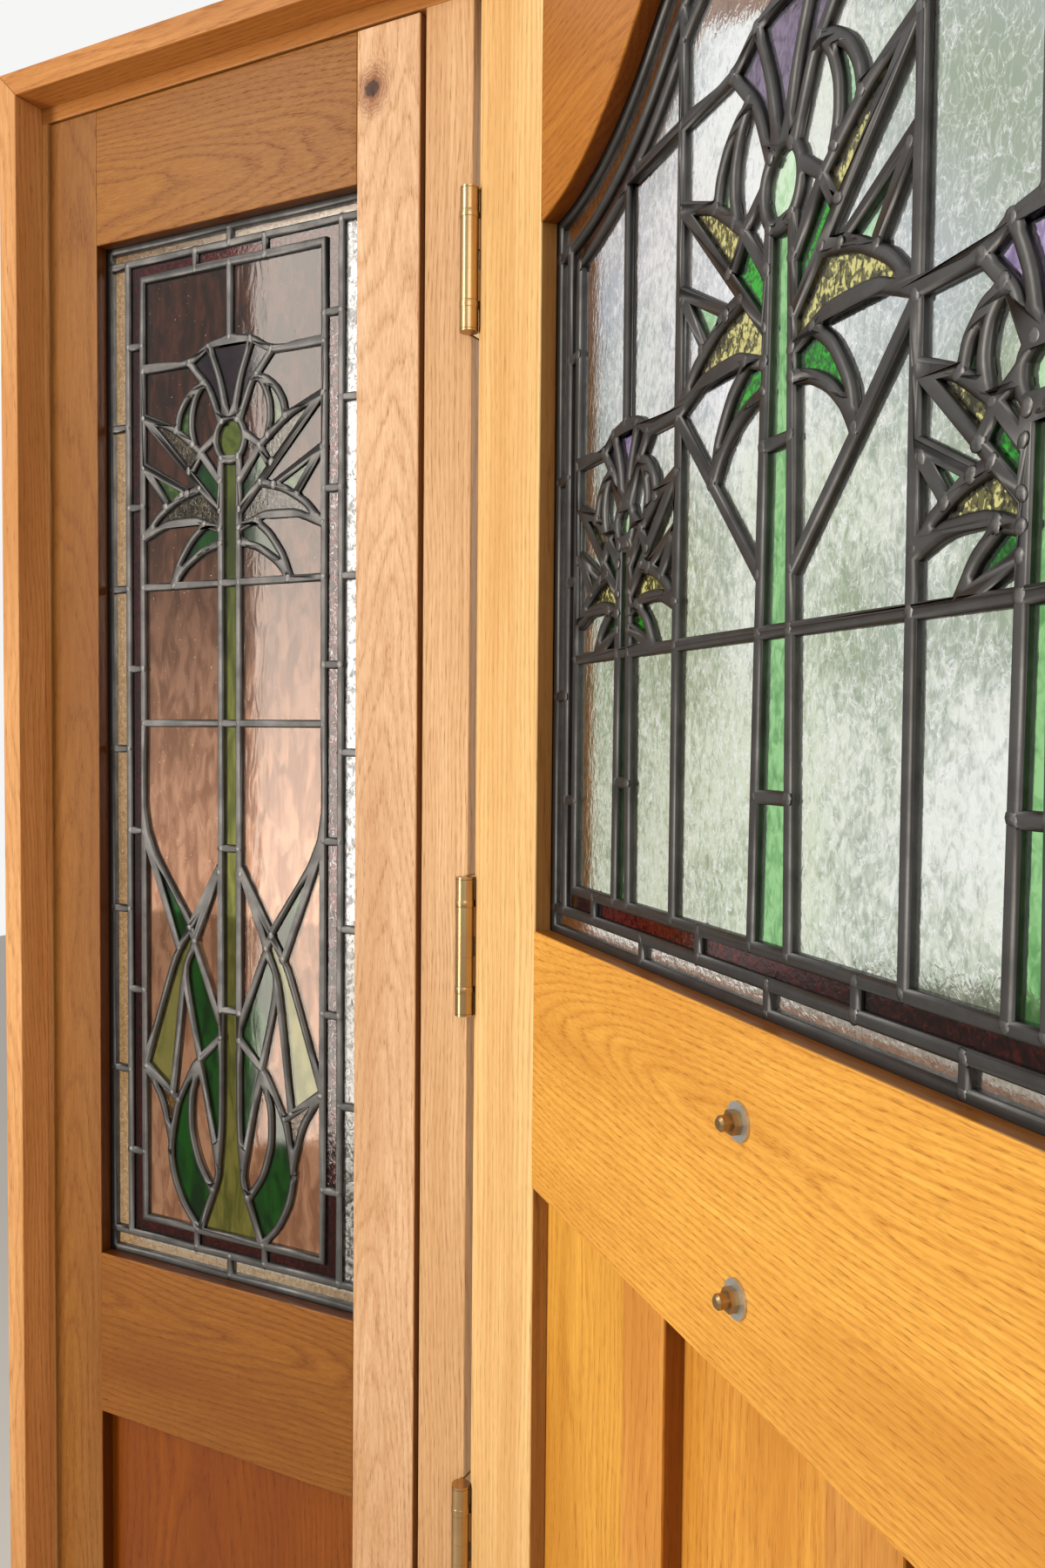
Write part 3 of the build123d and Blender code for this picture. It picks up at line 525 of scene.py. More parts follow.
def glass(name, code, shade, grain, relief, rough, stops=(0.42, 0.58), cloud=0.35, seeds=0.0,
          glints=0.0, above=None, second=None):
    """Rolled or hammered coloured glass, in the colours that it shows against a white ground. One
    that is there already is used again. code is its colour on the crests of its ripples and shade
    that in their hollows, painted light and shade for the brighter and darker things seen through
    the ripples. grain is the width and height of its ripples and relief their depth in millimetres,
    stops where shade turns to colour across a ripple, cloud how far that varies over the pane,
    seeds the reach of small bubbles, painted white as highlights, glints the strength of bright
    wavy lines, which are painted glints, above the two colours of the glass near the top, painted
    light and shade from what lies behind it there, and second those that it drifts to."""
    if name in bpy.data.materials:
        return bpy.data.materials[name]
    material, tree, shader = finish(name, Transmission_Weight=1.0, IOR=1.38, Roughness=rough,
                                    Specular_IOR_Level=0.35)
    place = add(tree, "ShaderNodeTexCoord").outputs["Object"]
    wide, high = grain

    def rolled(share, **values):
        """A noise with the glass's own grain at a share of its size."""
        scaled = add(tree, "ShaderNodeMapping", links={"Vector": place}, values={
            "Scale": [1 / (size * share * MM) for size in (wide, wide, high)]})
        return add(tree, "ShaderNodeTexNoise", links={"Vector": scaled.outputs["Vector"]},
                   values={"Scale": 1.0, **values}).outputs["Fac"]

    def shaded(light, dark):
        """Two colours of the glass, painted light on the crests of its ripples and painted shade between
        them.
        """
        return ramp(tree, depth, ((stops[0], linear(dark)), (stops[1], linear(light))))

    ripple = rolled(1.0, Detail=3.0, Distortion=0.8)
    broad = add(tree, "ShaderNodeTexNoise", links={"Vector": place},
                values={"Scale": 1 / (GLASS_CLOUD * MM), "Detail": 3.0}).outputs["Fac"]
    broad = add(tree, "ShaderNodeMath", operation="MULTIPLY_ADD",
                links={0: broad}, values={1: cloud, 2: -cloud / 2}).outputs[0]
    depth = add(tree, "ShaderNodeMath", operation="ADD", links={0: ripple, 1: broad}).outputs[0]
    tone = shaded(code, shade)
    # Towards the top, painted light on the door's glass and painted shade on the sidelight's
    if above:
        height = add(tree, "ShaderNodeSeparateXYZ", links={"Vector": place}).outputs["Z"]
        rise = add(tree, "ShaderNodeMapRange", interpolation_type="SMOOTHSTEP", links={"Value": height},
                   values={"From Min": ABOVE_BEGINS, "From Max": ABOVE_FULL}).outputs[0]
        tone = over(tree, tone, rise, shaded(*above))
    if second:
        drift = add(tree, "ShaderNodeTexNoise", links={"Vector": place},
                    values={"Scale": 1 / (GLASS_DRIFT * MM), "Detail": 2.0}).outputs["Fac"]
        tone = over(tree, tone, ramp(tree, drift, ((0.4, 0.0), (0.6, 1.0))), shaded(*second))
    # Painted glints: thin bright lines laid white into the glass's colour
    if glints:
        line = ramp(tree, rolled(1.7, Detail=4.0, Distortion=1.2), ((0.47, 0.0), (0.5, glints), (0.53, 0.0)))
        tone = over(tree, tone, line, WHITE)
    height = ripple
    # Bubbles painted white as small highlights
    if seeds:
        cells = add(tree, "ShaderNodeTexVoronoi", links={"Vector": place},
                    values={"Scale": 1 / (SEED_SPACING * MM)}).outputs["Distance"]
        bubble = ramp(tree, cells, ((seeds, 0.8), (seeds + 0.04, 0.0)))
        tone = over(tree, tone, bubble, WHITE)
        height = add(tree, "ShaderNodeMath", operation="MULTIPLY_ADD",
                     links={0: bubble, 2: ripple}, values={1: 0.6}).outputs[0]
    tree.links.new(tone, shader.inputs["Base Color"])
    bump = add(tree, "ShaderNodeBump", links={"Height": height},
               values={"Strength": 1.0, "Distance": relief * MM})
    tree.links.new(bump.outputs["Normal"], shader.inputs["Normal"])
    return material


def plain(name, dark, light, scale, rough):
    """A dull finish that varies a little between two colours. scale is how fine its patches are."""
    material, tree, shader = finish(name, Roughness=rough)
    place = add(tree, "ShaderNodeTexCoord").outputs["Object"]
    cloud = add(tree, "ShaderNodeTexNoise", links={"Vector": place}, values={"Scale": scale})
    tone = ramp(tree, cloud.outputs["Fac"], ((0.3, dark), (0.7, light)))
    tree.links.new(tone, shader.inputs["Base Color"])
    return material


def toned(tone, share):
    """A darker or lighter colour that follows one that a user can set."""
    return [part * share for part in tone]


def light_leads(tints):
    """The metals of a leaded light. The cames' old lead is nearly black with a soft sheen along
    its crown, and the solder on its joints is brighter, in spots a few millimetres wide."""
    return (metal("blackened lead came", tints.lead, 0.37, 22, dull=0.7),
            metal("tinned solder", toned(tints.lead, 1.5), 0.36, 3, dull=0.5, grit=0.12))


def border_glasses():
    """The glass round both lights: bright dimpled strips with painted glints, and a deep red brown inside
    them.
    """
    return {
        "strip": glass("clear hammered glass", "FFFDF8", "DCD2C4", (3.4, 3.4), 0.2, 0.05,
                       stops=(0.4, 0.56), glints=0.4),
        "border": glass("hammered red brown glass", "6A2018", "240705", (3.0, 3.0), 0.06, 0.06,
                        stops=(0.44, 0.6)),
    }


def leaf_glasses():
    """The glass of the door's light, which looks pale with the light behind it."""
    return {
        # Clear, with painted light and shade on its long ripples and painted glints, painted white above as
        # light from behind, and grey green where it drifts
        "field": glass("clear rolled glass", "FFFFFF", "B0B8B4", (4.2, 7), 0.14, 0.05, cloud=1.1,
                       above=("FFFFFF", "C4CAD2"), stops=(0.38, 0.6), glints=0.9,
                       second=("DCE4CC", "9AA888")),
        **border_glasses(),
        # The flowers: purple and lilac tops, mint bulbs and leaves in soft upright ripples
        "fan": glass("rolled purple glass", "8A7892", "54445C", (4, 7), 0.1, 0.06),
        "lilac": glass("rolled lilac glass", "BEAACF", "7C6890", (4, 7), 0.15, 0.06),
        "bulb": glass("rolled light green glass", "E2FAD8", "B4DEAA", (5, 7), 0.15, 0.06),
        "stem": glass("rolled mid green glass", "9AD28C", "62A05A", (5, 9), 0.12, 0.06),
        "pale": glass("rolled pale green glass", "C4E8C2", "8CBE8C", (5, 7), 0.15, 0.06),
        # Straw yellow broken by nearly black painted shade in its dimples
        "yellow": glass("hammered yellow glass", "E2D888", "2E2A10", (3.4, 4.6), 0.25, 0.06,
                        stops=(0.45, 0.52)),
        # The strongest green, with dark painted shade between its dimples
        "green": glass("hammered bright green glass", "27B818", "084A06", (3.6, 3.6), 0.2, 0.06),
    }


def sidelight_glasses():
    """The glass of the sidelight, painted deep as shade, as if little light were behind it, most of all near
    its top."""
    return {
        # Rose with small bubbles painted white as highlights, brown black above as painted shade
        "field": glass("seedy rose glass", "E8AE88", "B8805E", (9, 30), 0.06, 0.05, seeds=0.05,
                       above=("4E2A1A", "2C170C")),
        **border_glasses(),
        # The borders beside the mullion: the red glass again, with painted glints as bright threads for the
        # light of the doorway
        "sunward": glass("hammered red glass in the light", "5A1814", "160404", (4.6, 6.5), 0.2, 0.05,
                         stops=(0.46, 0.54), glints=0.95),
        # The strips beside the mullion: the clear hammered glass again, with deeper painted shade in its
        # hollows and painted glints
        "outer": glass("clear hammered glass by the mullion", "F8F8F6", "5E5C5A", (4.6, 5.5), 0.25,
                       0.05, stops=(0.42, 0.5), glints=0.6),
        # The flower: nearly black fans, an olive bulb and smooth green leaves, darker above as painted shade
        "fan": glass("rolled dark purple glass", "2C1822", "160A10", (8, 10), 0.02, 0.06),
        "bulb": glass("rolled olive glass", "5E6A20", "3A460E", (8, 8), 0.02, 0.06),
        "pale": glass("rolled leaf green glass", "4E6A2C", "243A12", (8, 8), 0.03, 0.06),
        "green": glass("smooth green glass", "1C6A0E", "0A3A04", (14, 30), 0.03, 0.05,
                       above=("16480E", "082A04")),
        # Long streaks of olive and moss up the stem, darker above as painted shade
        "stem": glass("streaky olive glass", "9E9844", "6E7028", (8, 40), 0.03, 0.05,
                      above=("565E20", "343E12")),
        # Dark amber with painted glints in places
        "yellow": glass("hammered dark amber glass", "4A3A1C", "120C04", (2.8, 6), 0.08, 0.06,
                        stops=(0.46, 0.54), glints=0.3),
        # The broad leaves round the foot: smooth straw, and amber with fine dimples
        "wheat": glass("smooth wheat glass", "B4AC5E", "8A8A3C", (14, 40), 0.1, 0.05),
        "amber": glass("hammered amber glass", "A4742C", "4E300E", (3.6, 3.6), 0.2, 0.06),
    }


# Helpers for modelling


def alone(piece):
    """Selects one piece and nothing else."""
    if bpy.context.mode != "OBJECT":
        bpy.ops.object.mode_set(mode="OBJECT")
    bpy.ops.object.select_all(action="DESELECT")
    piece.select_set(True)
    bpy.context.view_layer.objects.active = piece


def new_piece(name, mesh):
    """An object of its own for a mesh."""
    piece = bpy.data.objects.new(name, mesh)
    bpy.context.scene.collection.objects.link(piece)
    return piece


def bend_at(vertex):
    """How sharply an outline turns at a vertex."""
    before, after = [edge.other_vert(vertex).co - vertex.co for edge in vertex.link_edges]
    return math.pi - before.angle(after)


def came_outlines(node, on_leaf):
    """The outlines of a light's panes, from the room face of its CAD cames, with their short
    straight runs smoothed into curves."""
    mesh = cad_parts[node].data.copy()
    mesh.materials.clear()
    if on_leaf:
        mesh.transform(SHUT)
    piece = new_piece(f"{node}_outlines", mesh)
    alone(piece)
    bpy.ops.object.mode_set(mode="EDIT")
    bpy.ops.mesh.select_mode(type="FACE")
    bpy.ops.mesh.select_all(action="SELECT")
    bpy.ops.mesh.remove_doubles(threshold=OUTLINE_WELD * MM)
    near = min(vertex.co.y for vertex in mesh.vertices)
    bm = bmesh.from_edit_mesh(mesh)
    for face in bm.faces:
        face.select_set(abs(face.calc_center_median().y - near) > ON_FACE * MM)
    bpy.ops.mesh.delete(type="FACE")
    bpy.ops.mesh.select_all(action="SELECT")
    bpy.ops.mesh.region_to_loop()
    bpy.ops.mesh.select_mode(type="EDGE")
    bpy.ops.mesh.select_all(action="INVERT")
    bpy.ops.mesh.delete(type="EDGE")
    bpy.ops.mesh.select_mode(type="VERT")
    bpy.ops.mesh.select_all(action="SELECT")
    bpy.ops.mesh.dissolve_limited(angle_limit=math.radians(FLAT_BEND))
    bpy.ops.mesh.dissolve_degenerate(threshold=SHORT_RUN * MM)

    bm = bmesh.from_edit_mesh(mesh)
    soft = {vertex for vertex in bm.verts if STRAIGHT_BEND < bend_at(vertex) < CORNER_BEND}
    bpy.ops.mesh.select_all(action="DESELECT")
    for edge in bm.edges:
        edge.select_set(any(vertex in soft for vertex in edge.verts))
    bmesh.update_edit_mesh(mesh)
    bpy.ops.mesh.subdivide(number_cuts=3)
    bm = bmesh.from_edit_mesh(mesh)
    for vertex in bm.verts:
        if bend_at(vertex) > CORNER_BEND:
            vertex.select_set(False)
    bm.select_flush(False)
    bmesh.update_edit_mesh(mesh)
    # Each pass inward is followed by one outward, so the outlines keep their size
    for _ in range(SMOOTH_PASSES):
        bpy.ops.mesh.vertices_smooth(factor=SMOOTH_IN)
        bpy.ops.mesh.vertices_smooth(factor=-SMOOTH_OUT)
    bpy.ops.object.mode_set(mode="OBJECT")
    return piece


def spread(mesh, reach):
    """Moves the outlines of the panes outward, except the one round the whole light."""
    bm = bmesh.from_edit_mesh(mesh)
    moves = {}
    for loop in sorted(chains(bm), key=rise_of)[:-1]:
        way = facing(loop)
        for before, here, after in neighbours(loop):
            along = (here.co - before.co).normalized() + (after.co - here.co).normalized()
            moves[here] = Vector((along.z, 0, -along.x)).normalized() * way * reach
    for vertex, move in moves.items():
        vertex.co += move
    bmesh.update_edit_mesh(mesh)


def rise_of(loop):
    """How tall an outline is."""
    return max(vertex.co.z for vertex in loop) - min(vertex.co.z for vertex in loop)


def neighbours(loop):
    """Each vertex of an outline between the ones before and after it."""
    return zip(loop[-1:] + loop[:-1], loop, loop[1:] + loop[:1])


def facing(loop):
    """1 where an outline runs one way round and -1 for the other."""
    return math.copysign(1, sum(here.co.x * after.co.z - after.co.x * here.co.z
                                for _, here, after in neighbours(loop)))


def chains(bm):
    """The closed outlines of a mesh of loops, each as its vertices in order."""
    # A dict keeps the order of the mesh, which a set would not
    left = dict.fromkeys(bm.verts)
    while left:
        here = next(iter(left))
        del left[here]
        chain = [here]
        while True:
            ahead = [edge.other_vert(here) for edge in here.link_edges]
            ahead = [vertex for vertex in ahead if vertex in left]
            if not ahead:
                break
            here = ahead[0]
            del left[here]
            chain.append(here)
        yield chain


def covers(points, x, z):
    """Whether an outline goes round a spot."""
    inside = False
    for (x0, z0), (x1, z1) in zip(points, points[1:] + points[:1]):
        if (z0 > z) != (z1 > z) and x < x0 + (z - z0) * (x1 - x0) / (z1 - z0):
            inside = not inside
    return inside


def pane_kind(points, pattern):
    """Which glass a pane has, by its place in the pattern. Places are in millimetres."""
    middle, lilies, foot = pattern
    xs = [x for x, z in points]
    zs = [z for x, z in points]
    for across, line, size in lilies:
        for kind, spots in LILY_SPOTS.items():
            for x, z in spots:
                for side in (-1, 1):
                    if covers(points, middle + across + side * size * x, line + size * z):
                        # The small lilies' tops are paler than the large one's
                        return "lilac" if kind == "fan" and size < 1 else kind
        stem = (min(xs) + max(xs)) / 2 - middle - across
        if abs(stem) < STEM_OFF and max(xs) - min(xs) < STEM_WIDTH and max(zs) < line - size * STEM_TOP:
            return "stem"
    for kind, spots in FOOT_SPOTS.items() if foot else ():
        for x, z in spots:
            if any(covers(points, middle + side * x, foot + z) for side in (-1, 1)):
                return kind
    return "field"


def glass_panes(outlines, pattern, border, finishes):
    """Thin panes inside the outlines, one piece for each kind of glass."""
    settings = bpy.context.scene.door_sizes
    alone(outlines)
    bpy.ops.object.duplicate()
    sheet = bpy.context.view_layer.objects.active
    kinds = list(finishes)
    for kind in kinds:
        sheet.data.materials.append(finishes[kind])
    bpy.ops.object.mode_set(mode="EDIT")
    bpy.ops.mesh.select_mode(type="VERT")
    spread(sheet.data, GLASS_TUCK * MM)
    bm = bmesh.from_edit_mesh(sheet.data)
    loops = [[vertex.index for vertex in chain] for chain in sorted(chains(bm), key=rise_of)[:-1]]
    for loop in loops:
        bm = bmesh.from_edit_mesh(sheet.data)
        bm.verts.ensure_lookup_table()
        bpy.ops.mesh.select_all(action="DESELECT")
        corners = [bm.verts[index] for index in loop]
        for corner in corners:
            corner.select_set(True)
        bm.select_flush(True)
        points = [(corner.co.x / MM, corner.co.z / MM) for corner in corners]
        kind = border(points) or pane_kind(points, pattern)
        bpy.ops.mesh.edge_face_add()
        sheet.active_material_index = kinds.index(kind)
        bpy.ops.object.material_slot_assign()
    # The outline round the whole light bounds no pane
    bpy.ops.mesh.select_mode(type="EDGE")
    bpy.ops.mesh.select_all(action="DESELECT")
    bpy.ops.mesh.select_loose()
    bpy.ops.mesh.delete(type="VERT")
    bm = bmesh.from_edit_mesh(sheet.data)
    bpy.ops.mesh.select_mode(type="FACE")
    bpy.ops.mesh.select_all(action="SELECT")
    bpy.ops.mesh.normals_make_consistent(inside=False)
    near = bm.verts[:][0].co.y
    bpy.ops.transform.translate(value=(0, settings.glass_near - near, 0))
    bpy.ops.mesh.extrude_region_move(
        TRANSFORM_OT_translate={"value": (0, settings.glass_far - settings.glass_near, 0)})
    bpy.ops.mesh.select_all(action="SELECT")
    bpy.ops.mesh.normals_make_consistent(inside=False)
    bpy.ops.mesh.separate(type="MATERIAL")
    bpy.ops.object.mode_set(mode="OBJECT")
    return list(bpy.context.selected_objects)


def came_shell(outlines, name):
    """The cames between the outlines: rounded towards the room and towards the street."""
    alone(outlines)
    bpy.ops.object.duplicate()
    piece = bpy.context.view_layer.objects.active
    piece.name = name
    bpy.ops.object.mode_set(mode="EDIT")
    bpy.ops.mesh.select_mode(type="VERT")
    bpy.ops.mesh.select_all(action="SELECT")
    bpy.ops.mesh.fill(use_beauty=False)
    bpy.ops.mesh.select_mode(type="FACE")
    bpy.ops.mesh.select_all(action="SELECT")
    bm = bmesh.from_edit_mesh(piece.data)
    near = bm.verts[:][0].co.y
    if sum(face.normal.y for face in bm.faces) > 0:
        bpy.ops.mesh.flip_normals()
    bpy.ops.transform.translate(value=(0, CAME_MIDDLE * MM - near, 0))
    bpy.ops.mesh.extrude_region_move(
        TRANSFORM_OT_translate={"value": (0, (CAME_SHOULDER - CAME_MIDDLE) * MM, 0)})
    for thickness, rise in CAME_STEPS:
        bpy.ops.mesh.inset(thickness=thickness * MM, depth=rise * MM, use_even_offset=False)
    bpy.ops.mesh.select_all(action="SELECT")
    bpy.ops.mesh.duplicate()
    bpy.ops.transform.resize(value=(1, -1, 1), center_override=(0, CAME_MIDDLE * MM, 0))
    bpy.ops.mesh.flip_normals()
    bpy.ops.object.mode_set(mode="OBJECT")
    bpy.ops.object.shade_smooth_by_angle(angle=math.radians(50))
    return piece


def junctions(outlines):
    """Where cames meet: half a came beyond the corners of the panes, where two or more agree."""
    mesh = bmesh.new()
    mesh.from_mesh(outlines.data)
    spots = []
    for loop in sorted(chains(mesh), key=rise_of)[:-1]:
        way = facing(loop)
        for before, here, after in neighbours(loop):
            back, on = (before.co - here.co).normalized(), (after.co - here.co).normalized()
            turned = way * (on.x * back.z - back.x * on.z)
            if back.angle(on) < SHARP_CORNER and turned > 0:
                spots.append(here.co - (back + on).normalized() * CAME_HALF * MM)
    mesh.free()
    groups = []
    for spot in sorted(spots, key=lambda co: (round(co.z, 4), round(co.x, 4))):
        for group in groups:
            if (sum(group, Vector()) / len(group) - spot).length < JOINT_REACH * MM:
                group.append(spot)
                break
        else:
            groups.append([spot])
    return [sum(group, Vector()) / len(group) for group in groups if len(group) > 1]


def solder_joints(spots, name):
    """Low domes of solder where cames meet, on both sides of the light."""
    settings = bpy.context.scene.door_sizes
    bpy.ops.object.select_all(action="DESELECT")
    bpy.ops.mesh.primitive_uv_sphere_add(segments=12, ring_count=6, radius=1, location=(0, 0, 0),
                                         rotation=(math.radians(90), 0, 0))
    dome = bpy.context.view_layer.objects.active
    bpy.ops.object.transform_apply(location=False, rotation=True, scale=True)
    chance = random.Random(7)
    height = (CAME_MIDDLE - CAME_SHOULDER + SOLDER_LIFT) * MM
    copies = []
    for spot in spots:
        for side in (-1, 1):
            copy = new_piece(f"{name}_dome", dome.data.copy())
            radius = settings.solder_radius * chance.uniform(*SOLDER_SIZES)
            copy.scale = (radius, SOLDER_RISE * MM, radius * chance.uniform(*SOLDER_OVALS))
            copy.rotation_euler = (0, chance.uniform(0, math.pi), 0)
            copy.location = (spot.x, CAME_MIDDLE * MM + side * height, spot.z)
            copies.append(copy)
    bpy.data.objects.remove(dome)
    bpy.ops.object.select_all(action="DESELECT")
    for copy in copies:
        copy.select_set(True)
    bpy.context.view_layer.objects.active = copies[0]
    bpy.ops.object.transform_apply(location=True, rotation=True, scale=True)
    bpy.ops.object.join()
    piece = bpy.context.view_layer.objects.active
    piece.name = name
    bpy.ops.object.shade_smooth()
    return piece


# Where the border panes lie: how far out, how low and how high they reach


def door_border(points):
    """Strip and border panes of the door's light."""
    xs = [x - DOOR_MIDDLE for x, z in points]
    zs = [z for x, z in points]
    low = min(zs) - DOOR_LIGHT_FOOT
    side = max(abs(x) for x in xs)
    if side > DOOR_STRIP_SIDE or low < DOOR_STRIP_LOW:
        return "strip"
    if side > DOOR_BORDER_SIDE or low < DOOR_BORDER_LOW:
        return "border"
    under_arch = min(zs) > ARCH_PANE_FOOT and abs(sum(xs) / len(xs)) > ARCH_PANE_OFF
    return "border" if under_arch and max(xs) - min(xs) > ARCH_PANE_WIDTH else None


def sash_border(points):
    """Strip and border panes of the sidelight."""
    low, high = min(z for x, z in points), max(z for x, z in points)
    side = max(abs(x - SASH_MIDDLE) for x, z in points)
    # Beside the mullion the panes take the copies of their glass with painted glints and painted shade
    sunward = min(x for x, z in points) > SUNWARD_FROM
    if side > SASH_STRIP_SIDE or high > SASH_STRIP_HIGH or low < SASH_STRIP_LOW:
        return "outer" if sunward else "strip"
    if side > SASH_BORDER_SIDE or low < SASH_BORDER_LOW or high > SASH_BORDER_HIGH:
        return "sunward" if sunward else "border"
    return None


# The stage


def lay_floor(tints):
    """A pale painted floor, barely mottled so that it doesn't look like paper."""
    bpy.ops.object.select_all(action="DESELECT")
    bpy.ops.mesh.primitive_plane_add(size=FLOOR_SIZE, location=(0, 0, 0))
    floor = bpy.context.view_layer.objects.active
    floor.name = "stage_floor"
    floor.data.materials.append(
        plain("painted studio floor", toned(tints.floor, 0.96), tints.floor, 1.4, 0.75))


def light_world(scene):
    """A soft warm light from all round, before a pale backdrop that the camera, metal and glass
    see."""
    world = scene.world or bpy.data.worlds.new("studio")
    scene.world = world
    world.use_nodes = True
    tree = world.node_tree
    tree.nodes.clear()
    path = add(tree, "ShaderNodeLightPath").outputs
    seen = add(tree, "ShaderNodeMath", operation="MAXIMUM",
               links={0: path["Is Camera Ray"], 1: path["Is Transmission Ray"]})
    seen = add(tree, "ShaderNodeMath", operation="MAXIMUM",
               links={0: seen.outputs[0], 1: path["Is Glossy Ray"]})
    light = add(tree, "ShaderNodeBackground",
                values={"Color": colour(linear(WORLD_LIGHT)), "Strength": WORLD_STRENGTH})
    backdrop = add(tree, "ShaderNodeBackground", values={"Color": colour(linear(BACKDROP)), "Strength": 1.0})
    mixed = add(tree, "ShaderNodeMixShader",
                links={0: seen.outputs[0], 1: light.outputs[0], 2: backdrop.outputs[0]})
    add(tree, "ShaderNodeOutputWorld", links={"Surface": mixed.outputs[0]})


def hang_lamps(scene):
    """The tall window lamp, the fill beside the camera and the lamp on the street side."""
    for name, place, aim, wide, high, watts in LAMPS:
        lamp = bpy.data.lights.new(name, "AREA")
        lamp.shape = "RECTANGLE"
        lamp.size = wide
        lamp.size_y = high
        lamp.energy = watts
        lamp.color = linear(LAMP_LIGHT)
        holder = bpy.data.objects.new(name, lamp)
        holder.location = place
        way = Vector(aim) - Vector(place)
        holder.rotation_euler = way.to_track_quat("-Z", "Y").to_euler()
        scene.collection.objects.link(holder)


def set_camera(scene):
    """The camera of the photograph, turned left, tipped down a little and leaning slightly."""
    camera = bpy.data.cameras.new("camera")
    camera.lens = CAMERA_LENS
    camera.sensor_width = 36
    camera.clip_start = 0.02
    holder = bpy.data.objects.new("camera", camera)
    yaw, pitch, roll = (math.radians(angle) for angle in (CAMERA_YAW, CAMERA_PITCH, CAMERA_ROLL))
    ahead = Vector((-math.sin(yaw) * math.cos(pitch), math.cos(yaw) * math.cos(pitch), -math.sin(pitch)))
    right = Vector((math.cos(yaw), math.sin(yaw), 0))
    up = right.cross(ahead)
    leaning = right * math.cos(roll) + up * math.sin(roll)
    upward = up * math.cos(roll) - right * math.sin(roll)
    turned = Matrix((leaning, upward, -ahead)).transposed()
    holder.matrix_world = Matrix.Translation(CAMERA_PLACE) @ turned.to_4x4()
    scene.collection.objects.link(holder)
    scene.camera = holder


# The pieces


def dress_boards(boards, first):
    """Gives each board its own oak and eased arrises. first is the seed of the first board."""
    for seed, (node, tone, grain, pith, slope, ring) in enumerate(boards, start=first):
        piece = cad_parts[node]
        knots = (SASH_KNOT,) if node == "sash_stile_right" else ()
        # Rings stand out more on the rails, except on the dark one at the top of the door
        figure = 0.8 if "rail" in node and node != "door_rail_top" else 0.55
        shaded_sides = not any(word in node for word in PALE_SIDES)
        wear(piece, oak(node, linear(tone), grain, pith, seed, slope, ring, figure, shaded_sides, knots))
        weld = piece.modifiers.new("Weld", "WELD")
        weld.merge_threshold = WELD_REACH * MM
        flat = piece.modifiers.new("Flat faces", "DECIMATE")
        flat.decimate_type = "DISSOLVE"
        flat.angle_limit = math.radians(1)
        easing = piece.modifiers.new("Arris", "BEVEL")
        easing.width = bpy.context.scene.door_sizes.arris
        easing.segments = 2
        easing.limit_method = "ANGLE"
        easing.angle_limit = math.radians(40)


def leaded_light(light, body, pattern, border, finishes):
    """Panes, cames and solder in place of a light's plain solids, riding on its body."""
    lead, solder = light_leads(bpy.context.scene.door_colours)
    outlines = came_outlines(f"{light}_lead", body == "leaf")
    panes = glass_panes(outlines, pattern, border, finishes)
    cames = came_shell(outlines, f"{light}_cames")
    cames.data.materials.append(lead)
    joints = solder_joints(junctions(outlines), f"{light}_solder")
    joints.data.materials.append(solder)
    bpy.data.objects.remove(outlines)
    for piece in panes:
        worn = piece.material_slots[0].material
        piece.name = f"{light}_glass_" + next(kind for kind, made in finishes.items() if made == worn)
    for pieces, part in ((panes, "glass"), ([cames, joints], "lead")):
        for piece in pieces:
            if body == "leaf":
                piece.data.transform(OPEN)
            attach(piece, body)
            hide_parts(f"{light}_{part}")


def fit_metal(node, material):
    """Gives a metal part its finish and keeps its turned edges crisp."""
    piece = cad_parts[node]
    wear(piece, material)
    weld = piece.modifiers.new("Weld", "WELD")
    weld.merge_threshold = METAL_WELD_REACH * MM
    crisp = piece.modifiers.new("Crisp edges", "EDGE_SPLIT")
    crisp.split_angle = math.radians(32)


def turned_ring(radius, low, high, edge):
    """A ring on the hinge line with eased edges, between two heights in millimetres."""
    bpy.ops.object.select_all(action="DESELECT")
    bpy.ops.mesh.primitive_cylinder_add(vertices=48, radius=radius * MM, depth=(high - low) * MM,
                                        location=(HINGE_LINE.x, HINGE_LINE.y, (low + high) / 2 * MM))
    ring = bpy.context.view_layer.objects.active
    bpy.ops.object.mode_set(mode="EDIT")
    bpy.ops.mesh.select_all(action="SELECT")
    bpy.ops.mesh.edges_select_sharp(sharpness=math.radians(60))
    bpy.ops.mesh.bevel(offset=edge * MM, segments=3)
    bpy.ops.object.mode_set(mode="OBJECT")
    bpy.ops.object.transform_apply(location=True, rotation=True, scale=True)
    bpy.ops.object.shade_smooth_by_angle(angle=math.radians(35))
    return ring


def join_rings(rings, name, material):
    """Joins rings into one piece of the frame's hinges."""
    bpy.ops.object.select_all(action="DESELECT")
    for ring in rings:
        ring.select_set(True)
    piece = rings[0]
    bpy.context.view_layer.objects.active = piece
    bpy.ops.object.join()
    piece.name = name
    piece.data.materials.append(material)
    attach(piece, "frame")


def hinge_bottoms():
    """The heights of the undersides of the hinges' plates, from their solids."""
    heights = sorted(vertex.co.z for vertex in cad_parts["hinges_frame"].data.vertices)
    groups = [heights[0]]
    for before, here in zip(heights, heights[1:]):
        if here - before > HINGES_APART * MM:
            groups.append(here)
    return [height / MM for height in groups]


# Operators


class DOOR_OT_stage(bpy.types.Operator):
    """Floor, soft light and camera"""

    bl_idname = "door.stage"
    bl_label = "Stage"

    def execute(self, context):
        lay_floor(context.scene.door_colours)
        light_world(context.scene)
        hang_lamps(context.scene)
        set_camera(context.scene)
        context.scene.view_settings.view_transform = "Standard"
        return {"FINISHED"}


